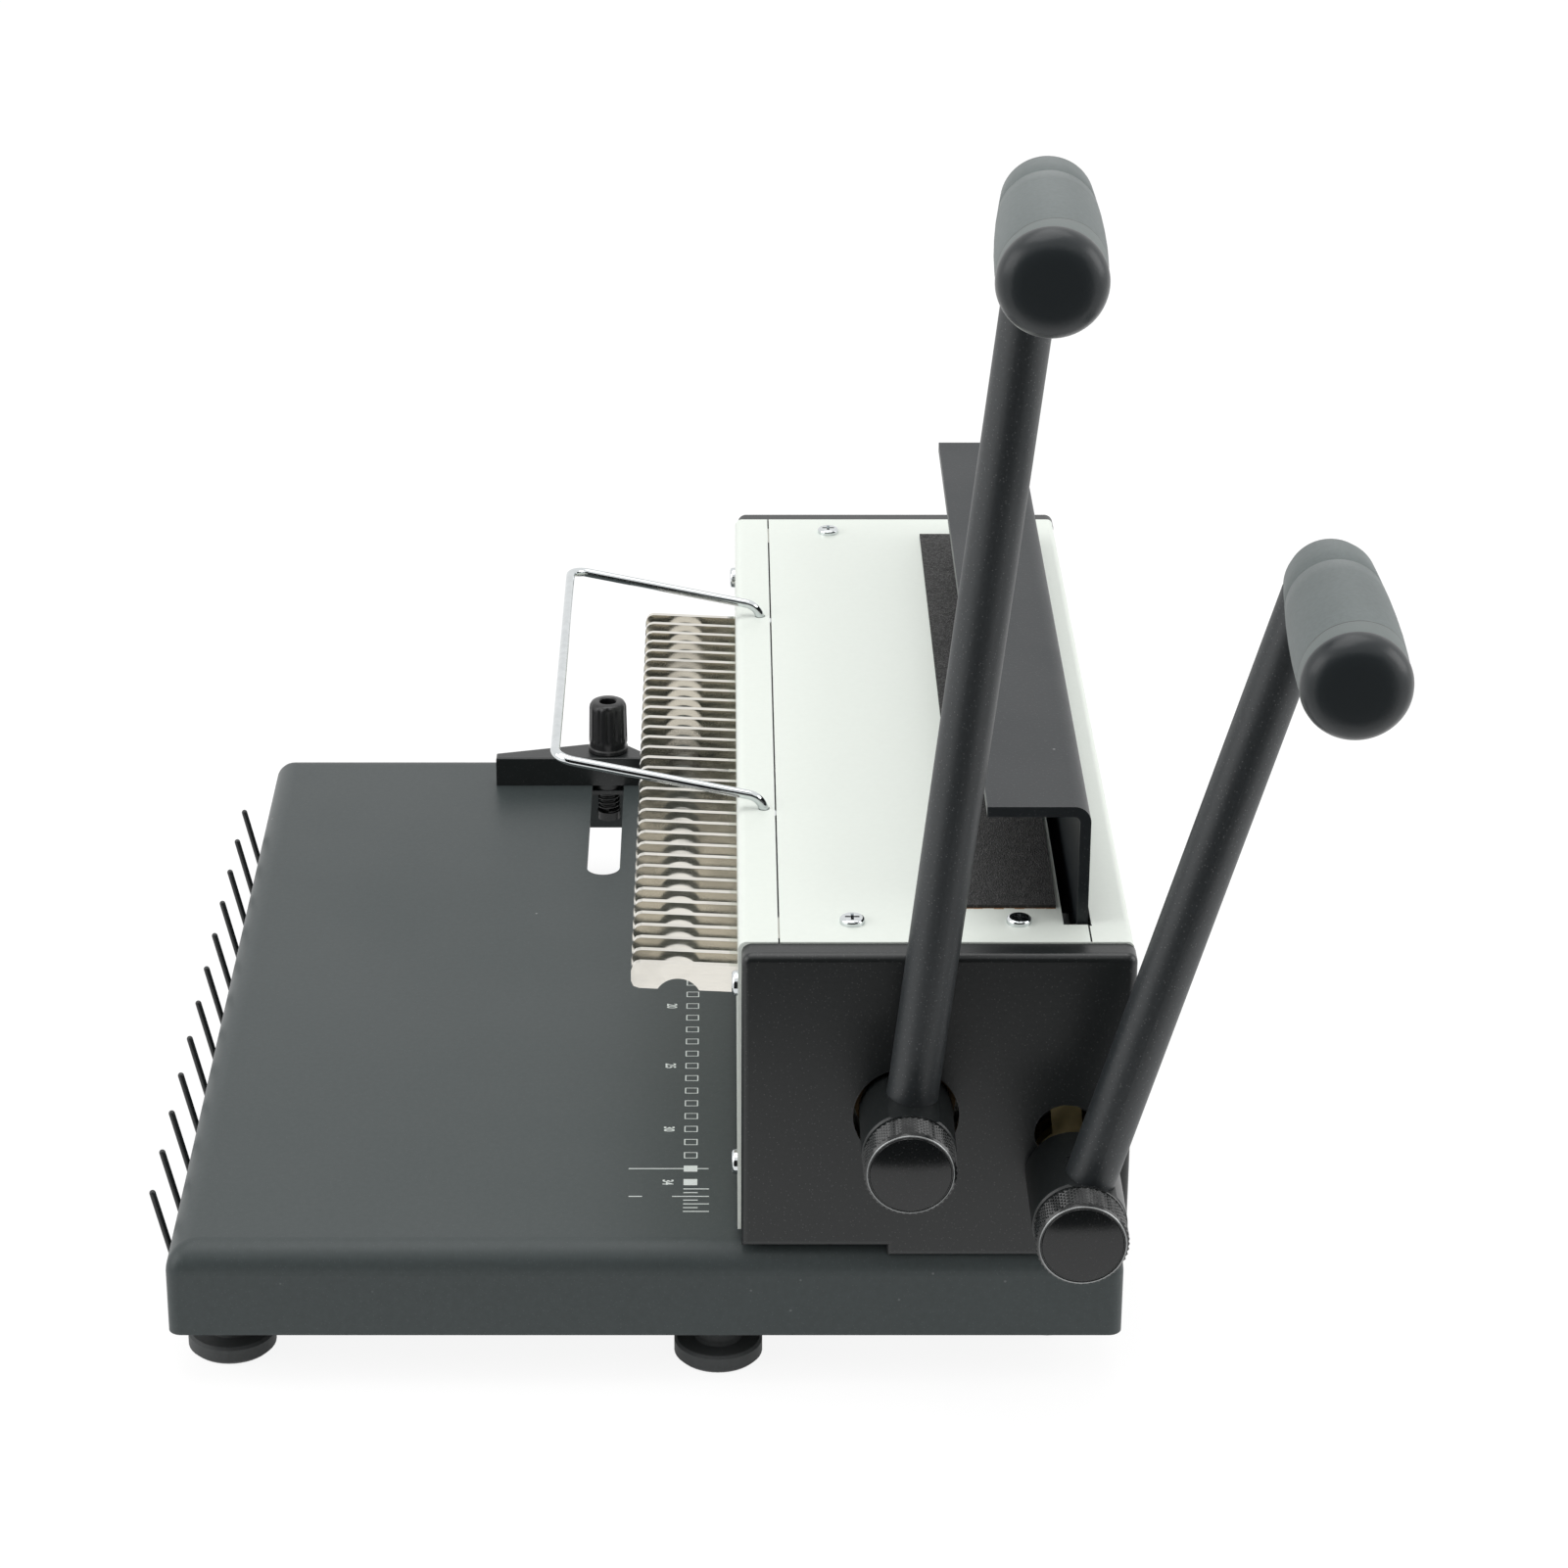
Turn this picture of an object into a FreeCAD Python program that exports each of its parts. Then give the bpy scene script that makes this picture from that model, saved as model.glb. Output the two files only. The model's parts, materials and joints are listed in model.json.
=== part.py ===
import FreeCAD, Part
import math
import os
import re
import Sketcher

# Desktop punch and closer for twin loop wire binding.
# Millimetres, +Z up, desk surface at Z = 0. Every place is first worked out from two zero lines:
# X from the middle of the row of punched holes, +X towards the levers, and Y from a line 4 mm in
# front of the white housing, +Y to the rear. Each piece is then moved by shift_x and shift_y, so
# that the origin stands under the middle of the whole machine, its levers included.

SIZES = {
    # The frame of the part
    "shift_x": -46.208, "shift_y": -2.66,
    # Base pan, folded from sheet
    "base_length": 363.0, "base_width": 285.2, "base_front": -165.9, "pan_left_over": 3.8,
    "pan_height": 28.8, "pan_wall": 2.0, "pan_edge_round": 8.5, "pan_corner_round": 4.0,
    # Feet
    "foot_drop": 17.2, "foot_radius": 13.4, "foot_rim": 6.0, "foot_stem_radius": 6.25,
    "foot_stem_top": 20.0, "foot_front_inset_x": 24.0, "foot_front_inset_y": 16.3,
    "foot_middle_inset_x": 19.0, "foot_middle_inset_y": 164.5,
    "foot_rear_inset_x": 40.5, "foot_rear_inset_y": 20.0, "foot_screw_radius": 2.5,
    "foot_post_radius": 6.0,
    # Pins that the wire hangs on
    "hang_pitch": 25.4, "hang_count": 12, "hang_offset": 8.5, "hang_pin_radius": 1.0,
    "hang_lean": 13.0, "hang_tip_reach": 6.9, "hang_tip_up": 1.0, "hang_root_down": 23.0,
    "strip_thick": 3.0, "strip_height": 8.0, "strip_end": 9.0,
    # Edge guide in its slot
    "slot_width": 11.5, "slot_y": -42.05, "slot_inset": 7.5, "slot_long": 93.4,
    "guide_inset": 24.3, "guide_thick": 7.0, "guide_boss": 13.5, "guide_height": 11.0,
    "guide_reach_front": 40.9, "guide_reach_rear": 40.05, "guide_taper": 2.2, "stud_inset": 8.0,
    "stud_radius": 2.5, "stud_drop": 16.0, "guide_knob_radius": 7.2, "guide_knob_taper": 0.5,
    "guide_knob_height": 19.5, "guide_knob_bore": 3.0, "key_gap": 0.2,
    # Housing
    "housing_front": 4.4, "rear_gap": 0.4, "housing_height": 98.0, "cover_sheet": 1.5,
    "cover_edge_round": 2.5,
    "rear_edge_round": 2.0, "strip_depth": 11.6, "seam_gap": 0.5, "throat_gap": 3.0,
    "side_cover_thick": 8.0, "side_cover_sheet": 2.0, "side_cover_round": 3.0,
    "side_cover_step": 44.0, "side_cover_lift": 0.3, "side_cover_hang": 2.0,
    "side_cover_toe": 1.3, "side_cover_down": 0.5, "hub_hole_gap": 1.8,
    "rear_hole_shift_y": 1.9, "rear_hole_shift_z": 11.8, "rear_hole_radius": 9.4,
    # Frame plates
    "web_inset": 8.5, "web_sheet": 3.0, "web_flange": 14.0, "stud_hole_radius": 2.1,
    # Plates that hold the loops open
    "comb_pitch": 8.467, "comb_count": 34, "comb_thick": 2.0, "comb_offset": -4.2345,
    "comb_top": 71.7, "comb_height": 8.5, "comb_reach": 31.9, "comb_rise": 1.4,
    "comb_depth": 13.2,
    "comb_arc_radius": 7.1, "comb_arc_depth": 3.8, "comb_arc_inset": 14.0,
    "carrier_depth": 12.0, "carrier_height": 20.0, "carrier_inset": 4.6,
    # Bent wire rest
    "bail_half": 79.75, "bail_radius": 1.5, "bail_inset": 8.3, "bail_reach": 56.0,
    "bail_tip_rise": 17.0, "bail_rise": 3.6, "bail_bend": 6.0,
    # Anti slip strip
    "grit_left_inset": 17.3, "grit_right_inset": 22.7, "grit_inset": 21.2, "grit_wide": 27.4,
    "grit_thick": 1.0,
    # Cover screws
    "screw_radius": 1.9, "screw_head_radius": 3.7, "screw_head_height": 1.8, "screw_long": 6.0,
    "top_screw_inset": 4.7, "top_screw_front_inset": 33.3, "top_screw_rear_inset": 32.6,
    "end_screw_inset": 2.0, "end_screw_low": 20.0, "end_screw_down": 18.5,
    # Die set
    "hole_pitch": 8.467, "hole_count": 34, "pin_side": 4.0, "die_gap": 0.04, "guide_gap": 0.05,
    "die_inset": 5.5, "die_before": 10.0, "die_behind": 16.0, "die_thick": 12.0,
    "guide_block_thick": 8.0, "stop_behind": 4.6, "cheek_long": 9.0, "die_screw_radius": 2.5,
    "die_screw_pitch": 58.0, "die_screw_count": 6, "window_gap": 0.5,
    # Punch drive
    "punch_inset": 49.1, "punch_up": 45.4, "shaft_radius": 8.0, "cam_rate": 9.5,
    "cam_lift_start": 12.4, "cam_thick": 12.0, "cam_side": 100.0, "cam_hub_radius": 11.7,
    "punch_range": 65.0, "beam_before": 9.0, "beam_behind": 13.0, "retainer_behind": 9.0,
    "beam_end_gap": 3.0, "retainer_thick": 3.2, "head_side": 5.6, "head_thick": 2.0,
    "beam_spare": 0.6, "pin_tip_rest": 0.3, "post_inset": 4.5, "post_radius": 4.0,
    "post_head_radius": 6.0, "post_head": 4.5, "seat_gap": 0.15, "run_gap": 0.05,
    "fit_gap": 0.03, "punch_spring_radius": 5.8, "punch_spring_wire": 0.75,
    "punch_spring_turns": 5, "bush_wall": 3.0, "bush_length": 6.0, "punch_bush_flange": 15.0,
    "closing_bush_flange": 13.0, "bush_flange": 2.5,
    # Closing drive
    "closing_inset": 16.5, "closing_up": 27.7, "closing_shaft_radius": 7.0,
    "crank_radius": 28.9, "closing_range": 56.0, "crank_web_gap": 3.5, "crank_thick": 5.0,
    "crank_pin_radius": 4.0, "crank_hub_radius": 10.0, "crank_eye_radius": 7.0,
    "crank_side_gap": 1.4, "yoke_gap": 0.35, "rod_inset": 25.0, "rod_behind_jaw": 22.3,
    "rod_radius": 4.0, "slider_thick": 5.0, "slider_height": 21.0, "slider_top_gap": 1.5,
    "slider_half": 8.5, "anvil_thick": 8.0, "anvil_before": 12.0, "anvil_behind": 11.5,
    "closing_spring_radius": 6.2, "closing_spring_wire": 0.8, "closing_spring_turns": 12,
    "stop_arm_half": 4.5, "stop_arm_long": 31.0, "stop_arm_thick": 5.0, "stop_arm_lean": 6.1,
    "stop_pin_radius": 3.0, "stop_pin_out": 24.0, "collar_thick": 3.0,
    # Closing jaw
    "jaw_sheet": 3.2, "jaw_left_over": 12.0, "jaw_right_over": 20.8, "jaw_rise": 37.0,
    "jaw_depth": 30.1, "jaw_behind_shaft": 3.9, "jaw_bend": 5.0, "jaw_slot_before": 3.9,
    "jaw_slot_behind": 1.0, "jaw_slot_gap": 1.2,
    # Levers
    "hub_radius": 13.7, "punch_hub_recess": 4.5, "punch_hub_long": 28.8,
    "closing_hub_gap": 1.5, "closing_hub_long": 32.0, "punch_tube_offset": 13.0,
    "closing_tube_offset": 23.0, "tube_radius": 7.5, "tube_seat": 11.6, "punch_tilt": 6.4,
    "closing_tilt": 16.4, "punch_length": 274.1, "closing_length": 203.0,
    "punch_grip_back": 2.25, "closing_grip_back": 4.9, "punch_grip_turn": 2.8,
    "closing_grip_turn": 2.06,
    "spigot_radius": 5.0, "clamp_radius": 13.5, "clamp_thick": 11.0, "clamp_stud_radius": 4.0,
    "clamp_stud_long": 14.0,
    "core_radius": 6.0, "grip_radius": 14.9, "grip_inner_radius": 15.3, "grip_long": 86.5,
    "punch_overhang": 28.0, "closing_overhang": 8.0, "collar_radius": 13.3,
    "collar_long": 24.0, "grip_round": 6.0, "grip_dome": 1.5, "grip_cap": 6.5,
    # Chip tray
    "tray_before_die": 20.0, "tray_behind_die": 14.0, "tray_right_inset": 34.5,
    "tray_drop": 13.3, "tray_under_die": 1.5, "tray_sheet": 1.5, "tray_flange": 5.0,
    "tray_plate": 2.0, "tray_lip": 3.0,
}

# Places worked out from the sizes above
PLACES = {
    "deck": "(foot_drop + pan_height)",
    "base_half": "(base_length / 2)",
    "base_rear": "(base_front + base_width)",
    "pan_left": "(-base_half - pan_left_over)",
    "foot_front_x": "(base_half - foot_front_inset_x)",
    "foot_front_y": "(base_front + foot_front_inset_y)",
    "foot_middle_x": "(base_half - foot_middle_inset_x)",
    "foot_middle_y": "(base_front + foot_middle_inset_y)",
    "foot_rear_x": "(base_half - foot_rear_inset_x)",
    "foot_rear_y": "(base_rear - foot_rear_inset_y)",
    "hang_first_x": "(hang_offset - hang_pitch * (hang_count - 1) / 2)",
    "slot_left": "(slot_inset - base_half)",
    "slot_right": "(slot_left + slot_long)",
    "guide_face_x": "(guide_inset - base_half)",
    "guide_front": "(slot_y - guide_reach_front)",
    "guide_rear": "(slot_y + guide_reach_rear)",
    "stud_x": "(guide_face_x - stud_inset)",
    "housing_rear": "(base_rear - rear_gap)",
    "housing_half": "(base_half - side_cover_thick)",
    "cover_half": "base_half",
    "strip_rear": "(housing_front + strip_depth)",
    "step_y": "(housing_front + side_cover_step)",
    "hub_hole_radius": "(hub_radius + hub_hole_gap)",
    "rear_hole_y": "(closing_y - rear_hole_shift_y)",
    "rear_hole_z": "(closing_z + rear_hole_shift_z)",
    "web_inner": "(housing_half - web_inset)",
    "web_outer": "(web_inner + web_sheet)",
    "web_front": "(housing_front + cover_sheet)",
    "web_rear": "(housing_rear - cover_sheet)",
    "web_top": "(housing_height - cover_sheet)",
    "foot_start": "(web_front + 6.5)",
    "deck_screw_x": "(web_outer - (web_flange + web_sheet) / 2)",
    "comb_first_x": "(comb_offset - comb_pitch * (comb_count - 1) / 2)",
    "comb_nose": "(housing_front - comb_reach)",
    "comb_root": "(housing_front + comb_depth)",
    "comb_arc_y": "(comb_nose + comb_arc_inset)",
    "carrier_front": "(housing_front + carrier_inset)",
    "bail_hole_y": "(housing_front + bail_inset)",
    "bail_tip_y": "(housing_front - bail_reach)",
    "grit_left": "(grit_left_inset - housing_half)",
    "grit_right": "(housing_half - grit_right_inset)",
    "grit_rear": "(housing_rear - grit_inset)",
    "top_screw_x": "(web_inner - top_screw_inset)",
    "end_screw_x": "(web_inner - end_screw_inset)",
    "top_screw_front": "(housing_front + top_screw_front_inset)",
    "top_screw_rear": "(housing_rear - top_screw_rear_inset)",
    "end_screw_high": "(housing_height - end_screw_down)",
    "punch_y": "(housing_front + punch_inset)",
    "pin_y": "(punch_y - cam_rate)",
    "die_half": "(web_inner - die_inset)",
    "die_front": "(pin_y - die_before)",
    "die_rear": "(pin_y + die_behind)",
    "stop_line": "(pin_y + stop_behind)",
    "cheek_half": "(die_half - cheek_long)",
    "pin_first_x": "(-hole_pitch * (hole_count - 1) / 2)",
    "throat_top": "(deck + throat_gap)",
    "guide_block_top": "(deck + throat_gap + guide_block_thick)",
    "stroke": "(cam_rate * punch_range * pi / 180)",
    "retainer_low": "(guide_block_top + stroke + beam_spare)",
    "beam_low": "(retainer_low + retainer_thick)",
    "beam_top": "(deck + punch_up - cam_lift_start - run_gap)",
    "beam_half": "(web_inner - beam_end_gap)",
    "beam_front": "(pin_y - beam_before)",
    "beam_rear": "(pin_y + beam_behind)",
    "post_x": "(die_half - post_inset)",
    "punch_z": "(deck + punch_up)",
    "closing_y": "(housing_rear - closing_inset)",
    "closing_z": "(deck + closing_up)",
    "crank_inner": "(web_inner - crank_web_gap - crank_thick)",
    "crank_half_range": "(closing_range / 2)",
    "crank_pin_y": "(closing_y - crank_radius * cos(crank_half_range))",
    "crank_pin_z": "(closing_z + crank_radius * sin(crank_half_range))",
    "rod_x": "(web_inner - rod_inset)",
    "rod_y": "(jaw_rear - rod_behind_jaw)",
    "anvil_low": "(web_top - anvil_thick)",
    "anvil_front": "(rod_y - anvil_before)",
    "anvil_rear": "(rod_y + anvil_behind)",
    "slider_high": "(anvil_low - slider_top_gap)",
    "slider_low": "(slider_high - slider_height)",
    "slider_mid": "(slider_low + slider_height / 2 - 3)",
    "jaw_left": "(-rod_x - jaw_left_over)",
    "jaw_right": "(rod_x + jaw_right_over)",
    "jaw_top": "(housing_height + jaw_rise)",
    "jaw_rear": "(closing_y + jaw_behind_shaft)",
    "jaw_front": "(jaw_rear - jaw_depth)",
    "jaw_leg_front": "(jaw_rear - jaw_sheet)",
    "jaw_slot_front": "(jaw_leg_front - jaw_slot_before)",
    "jaw_slot_rear": "(jaw_rear + jaw_slot_behind)",
    "punch_hub_in": "(cover_half - punch_hub_recess)",
    "punch_hub_out": "(punch_hub_in + punch_hub_long)",
    "closing_hub_in": "(cover_half + closing_hub_gap)",
    "closing_hub_out": "(closing_hub_in + closing_hub_long)",
    "punch_tube_x": "(punch_hub_in + punch_tube_offset)",
    "closing_tube_x": "(closing_hub_in + closing_tube_offset)",
    "tray_front": "(die_front - tray_before_die)",
    "tray_rear": "(die_rear + tray_behind_die)",
    "tray_right": "(base_half - tray_right_inset)",
    "tray_high": "(deck - die_thick - tray_under_die)",
    "tray_low": "(tray_high - tray_drop)",
}

# Rows of screws and studs that several pieces share
DECK_SCREWS = ("housing_front + 14", "die_rear + 10", "housing_rear - 10.5")
ANVIL_SCREWS = ("rod_y - 6", "rod_y + 6")
BLOCK_SCREWS = ("die_front + 3.5", "die_rear - 3.5")
COVER_STUDS = (
    ("housing_front + 16", "30"), ("housing_front + 16", "web_top - 8.5"),
    ("closing_y - 12.9", "web_top - 26.5"), ("housing_rear - 10.5", "web_top - 8.5"),
    ("housing_rear - 10.5", "12"),
)

doc = FreeCAD.newDocument("BindingPunch")
sheet = doc.addObject("Spreadsheet::Sheet", "Sizes")
for row, (alias, value) in enumerate(SIZES.items(), 1):
    sheet.set(f"A{row}", alias)
    sheet.set(f"B{row}", str(value))
    sheet.setAlias(f"B{row}", alias)
doc.recompute()

WORD = re.compile(r"[a-z][a-z_]+[a-z]")
kept = {}


def full(text):
    """Write a formula of size and place names as an expression on the sheet."""
    def swap(match):
        word = match.group(0)
        if word in PLACES:
            return full(PLACES[word])
        return f"Sizes.{word}" if word in SIZES else word
    return WORD.sub(swap, str(text))


def num(text):
    """Work out a formula of size and place names."""
    result = sheet.evalExpression(full(text))
    return float(getattr(result, "Value", result))


def tie(target, prop, text):
    """Bind one property to a formula."""
    target.setExpression(prop, full(text))


def vec(x, y, z):
    return FreeCAD.Vector(num(x), num(y), num(z))


# Helpers for sketched bodies

AXES = {"XY_Plane": 1, "YZ_Plane": 1, "XZ_Plane": -1}


class Piece:
    """A body that is built up by pads, pockets and turned profiles."""

    def __init__(self, name):
        self.body = doc.addObject("PartDesign::Body", name)
        self.body.AllowCompound = True
        self.last = None

    def origin(self, role):
        return next(f for f in self.body.Origin.OriginFeatures if f.Role == role)

    def sketch(self, plane, offset, loops):
        sketch = self.body.newObject("Sketcher::SketchObject", self.body.Name + "_sketch")
        sketch.AttachmentSupport = (self.origin(plane), [""])
        sketch.MapMode = "FlatFace"
        sign = "" if AXES[plane] > 0 else "-"
        tie(sketch, "AttachmentOffset.Base.z", f"{sign}({offset})")
        for loop in loops:
            loop(sketch)
        return sketch

    def _add(self, kind, sketch):
        feature = self.body.newObject(kind, self.body.Name + "_feature")
        feature.Profile = sketch
        self.last = feature
        self.body.Tip = feature
        return feature

    def pad(self, plane, low, high, *loops):
        """Add material between two places along the plane's own axis."""
        start = low if AXES[plane] > 0 else high
        feature = self._add("PartDesign::Pad", self.sketch(plane, start, loops))
        tie(feature, "Length", f"({high}) - ({low})")
        return feature

    def pocket(self, plane, low, high, *loops):
        """Remove material between two places along the plane's own axis."""
        start = high if AXES[plane] > 0 else low
        feature = self._add("PartDesign::Pocket", self.sketch(plane, start, loops))
        tie(feature, "Length", f"({high}) - ({low})")
        return feature

    def turn(self, plane, axis, *loops):
        """Turn a profile about the sketch's H or V axis."""
        sketch = self.sketch(plane, "0", loops)
        feature = self._add("PartDesign::Revolution", sketch)
        feature.ReferenceAxis = (sketch, [axis + "_Axis"])
        feature.Angle = 360
        return feature

    def row(self, axis, pitch, count, *features):
        """Repeat features along an axis at an even pitch."""
        pattern = self.body.newObject("PartDesign::LinearPattern", self.body.Name + "_row")
        pattern.Originals = list(features)
        pattern.Direction = (self.origin(axis), [""])
        tie(pattern, "Length", f"({pitch}) * (({count}) - 1)")
        tie(pattern, "Occurrences", count)
        self.last = pattern
        self.body.Tip = pattern
        return pattern

    def ring(self, axis, count, *features):
        """Repeat features round an axis."""
        pattern = self.body.newObject("PartDesign::PolarPattern", self.body.Name + "_ring")
        pattern.Originals = list(features)
        pattern.Axis = (self.origin(axis), [""])
        pattern.Angle = 360
        pattern.Occurrences = count
        self.last = pattern
        self.body.Tip = pattern
        return pattern

    def soften(self, kind, radius, test):
        """Fillet or chamfer every edge that the test picks."""
        doc.recompute()
        names = [f"Edge{i}" for i, edge in enumerate(self.last.Shape.Edges, 1) if test(edge)]
        feature = self.body.newObject("PartDesign::" + kind, self.body.Name + "_" + kind.lower())
        feature.Base = (self.last, names)
        tie(feature, "Radius" if kind == "Fillet" else "Size", radius)
        self.last = feature
        self.body.Tip = feature
        return feature


def poly(*points):
    """A closed outline of straight lines through named places."""
    def draw(sketch):
        spots = [(num(x), num(y)) for x, y in points]
        first = sketch.GeometryCount
        for i, (x, y) in enumerate(spots):
            nx, ny = spots[(i + 1) % len(spots)]
            line = Part.LineSegment(FreeCAD.Vector(x, y, 0), FreeCAD.Vector(nx, ny, 0))
            sketch.addGeometry(line, False)
        for i in range(len(spots)):
            after = first + (i + 1) % len(spots)
            sketch.addConstraint(Sketcher.Constraint("Coincident", first + i, 2, after, 1))
        for i, (x, y) in enumerate(points):
            pin_point(sketch, first + i, 1, x, y)
    return draw


def pin_point(sketch, index, position, x, y):
    """Hold a point of a sketch at a named place."""
    for letter, text, other in (("X", x, -2), ("Y", y, -1)):
        value = num(text)
        if abs(value) < 1e-9:
            sketch.addConstraint(Sketcher.Constraint("PointOnObject", index, position, other))
            continue
        rule = Sketcher.Constraint("Distance" + letter, -1, 1, index, position, value)
        tie(sketch, f"Constraints[{sketch.addConstraint(rule)}]", text)


def rect(x_low, x_high, y_low, y_high):
    return poly((x_low, y_low), (x_high, y_low), (x_high, y_high), (x_low, y_high))


def circle(x, y, radius):
    def draw(sketch):
        centre = FreeCAD.Vector(num(x), num(y), 0)
        ring = Part.Circle(centre, FreeCAD.Vector(0, 0, 1), num(radius))
        index = sketch.addGeometry(ring, False)
        rule = sketch.addConstraint(Sketcher.Constraint("Radius", index, num(radius)))
        tie(sketch, f"Constraints[{rule}]", radius)
        pin_point(sketch, index, 3, x, y)
    return draw


def long_hole(x_low, x_high, y, radius):
    """A slot with round ends, along the sketch's first axis, between two end centres."""
    def draw(sketch):
        up = FreeCAD.Vector(0, 0, 1)
        left, right, mid, r = num(x_low), num(x_high), num(y), num(radius)
        a = sketch.addGeometry(Part.LineSegment(FreeCAD.Vector(left, mid - r, 0),
                                                FreeCAD.Vector(right, mid - r, 0)), False)
        b = sketch.addGeometry(Part.ArcOfCircle(Part.Circle(FreeCAD.Vector(right, mid, 0), up, r),
                                                -math.pi / 2, math.pi / 2), False)
        c = sketch.addGeometry(Part.LineSegment(FreeCAD.Vector(right, mid + r, 0),
                                                FreeCAD.Vector(left, mid + r, 0)), False)
        d = sketch.addGeometry(Part.ArcOfCircle(Part.Circle(FreeCAD.Vector(left, mid, 0), up, r),
                                                math.pi / 2, 3 * math.pi / 2), False)
        for one, two in ((a, b), (b, c), (c, d), (d, a)):
            sketch.addConstraint(Sketcher.Constraint("Tangent", one, 2, two, 1))
        rule = sketch.addConstraint(Sketcher.Constraint("Radius", b, r))
        tie(sketch, f"Constraints[{rule}]", radius)
        pin_point(sketch, b, 3, x_high, y)
        pin_point(sketch, d, 3, x_low, y)
    return draw


# Helpers for simple solids

TURNS = {
    "X": FreeCAD.Rotation(FreeCAD.Vector(0, 1, 0), 90),
    "Y": FreeCAD.Rotation(FreeCAD.Vector(1, 0, 0), -90),
    "Z": FreeCAD.Rotation(),
}
spots = {}


def put(item, x, y, z, turn=None):
    """Place an object at a named spot."""
    item.Placement = FreeCAD.Placement(FreeCAD.Vector(), turn or FreeCAD.Rotation())
    spots[item.Name] = (x, y, z)
    for letter, text in zip("xyz", (x, y, z)):
        tie(item, f"Placement.Base.{letter}", text)
    return item


def block(name, x, y, z):
    """A box between named low and high places on each axis."""
    box = doc.addObject("Part::Box", name)
    for prop, (low, high) in (("Length", x), ("Width", y), ("Height", z)):
        tie(box, prop, f"({high}) - ({low})")
    return put(box, x[0], y[0], z[0])


def rod(name, axis, x, y, z, length, radius):
    """A round bar along X, Y or Z from a named start."""
    bar = doc.addObject("Part::Cylinder", name)
    tie(bar, "Radius", radius)
    tie(bar, "Height", length)
    return put(bar, x, y, z, TURNS[axis])


def join(name, *items):
    result = doc.addObject("Part::MultiFuse", name)
    result.Shapes = list(items)
    result.Refine = True
    return result


def cut(name, base, *tools):
    result = doc.addObject("Part::Cut", name)
    result.Base = base
    result.Tool = tools[0] if len(tools) == 1 else join(name + "_tool", *tools)
    return result


def group(name, source, places):
    """Copies of one piece at several places, as one node of separate solids."""
    doc.recompute()
    copies = []
    for place in places:
        shape = source.Shape.copy()
        turn = place[3] if len(place) > 3 else FreeCAD.Rotation()
        shape.Placement = FreeCAD.Placement(vec(*place[:3]), turn).multiply(shape.Placement)
        copies.append(shape)
    result = doc.addObject("Part::Feature", name)
    result.Shape = Part.makeCompound(copies)
    return result


def keep(label, item, y="0", z="0", lean=None, yaw=None):
    """Name a finished piece and move it into the frame of the part."""
    base = spots.get(item.Name, ("0", "0", "0"))
    if lean is not None:
        turn, angle = FreeCAD.Rotation(FreeCAD.Vector(-1, 0, 0), num(lean)), lean
        if yaw is not None:
            turn = turn.multiply(FreeCAD.Rotation(FreeCAD.Vector(0, 0, -1), num(yaw)))
            angle = f"2 * acos(cos({lean} / 2) * cos({yaw} / 2))"
        item.Placement = FreeCAD.Placement(FreeCAD.Vector(), turn)
        tie(item, "Placement.Rotation.Angle", angle)
    tie(item, "Placement.Base.x", f"{base[0]} + shift_x")
    tie(item, "Placement.Base.y", f"{base[1]} + {y} + shift_y")
    tie(item, "Placement.Base.z", f"{base[2]} + {z}")
    item.Label = label
    kept[label] = item


def along(points, bend, radius):
    """A round wire along straight runs joined by tangent arcs."""
    edges, here = [], points[0]
    for before, corner, after in zip(points, points[1:], points[2:]):
        back = (before - corner).normalize()
        ahead = (after - corner).normalize()
        half = back.getAngle(ahead) / 2
        reach = bend / math.tan(half)
        start, end = corner + back * reach, corner + ahead * reach
        middle = (back + ahead).normalize()
        top = corner + middle * (bend / math.sin(half) - bend)
        edges.append(Part.makeLine(here, start))
        edges.append(Part.Arc(start, top, end).toShape())
        here = end
    edges.append(Part.makeLine(here, points[-1]))
    way = (points[1] - points[0]).normalize()
    ring = Part.Wire([Part.Circle(points[0], way, radius).toShape()])
    pipe = Part.BRepOffsetAPI.MakePipeShell(Part.Wire(edges))
    pipe.add(ring)
    pipe.build()
    pipe.makeSolid()
    return pipe.shape()


def biarc(p0, t0, p1, t1):
    """Two arcs that leave p0 along t0 and reach p1 along t1."""
    v, t = p1 - p0, t0 + t1
    spread = 2 * (1 - t0.dot(t1))
    reach = (-v.dot(t) + math.sqrt(v.dot(t) ** 2 + spread * v.dot(v))) / spread
    q0, q1 = p0 + t0 * reach, p1 - t1 * reach
    joint = (q0 + q1) * 0.5
    arcs = []
    for start, corner, end in ((p0, q0, joint), (joint, q1, p1)):
        chord = (start + end) * 0.5
        cosine = (chord - start).Length / (corner - start).Length
        top = chord + (corner - chord) * (cosine / (1 + cosine))
        arcs.append(Part.Arc(start, top, end).toShape())
    return arcs


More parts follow.
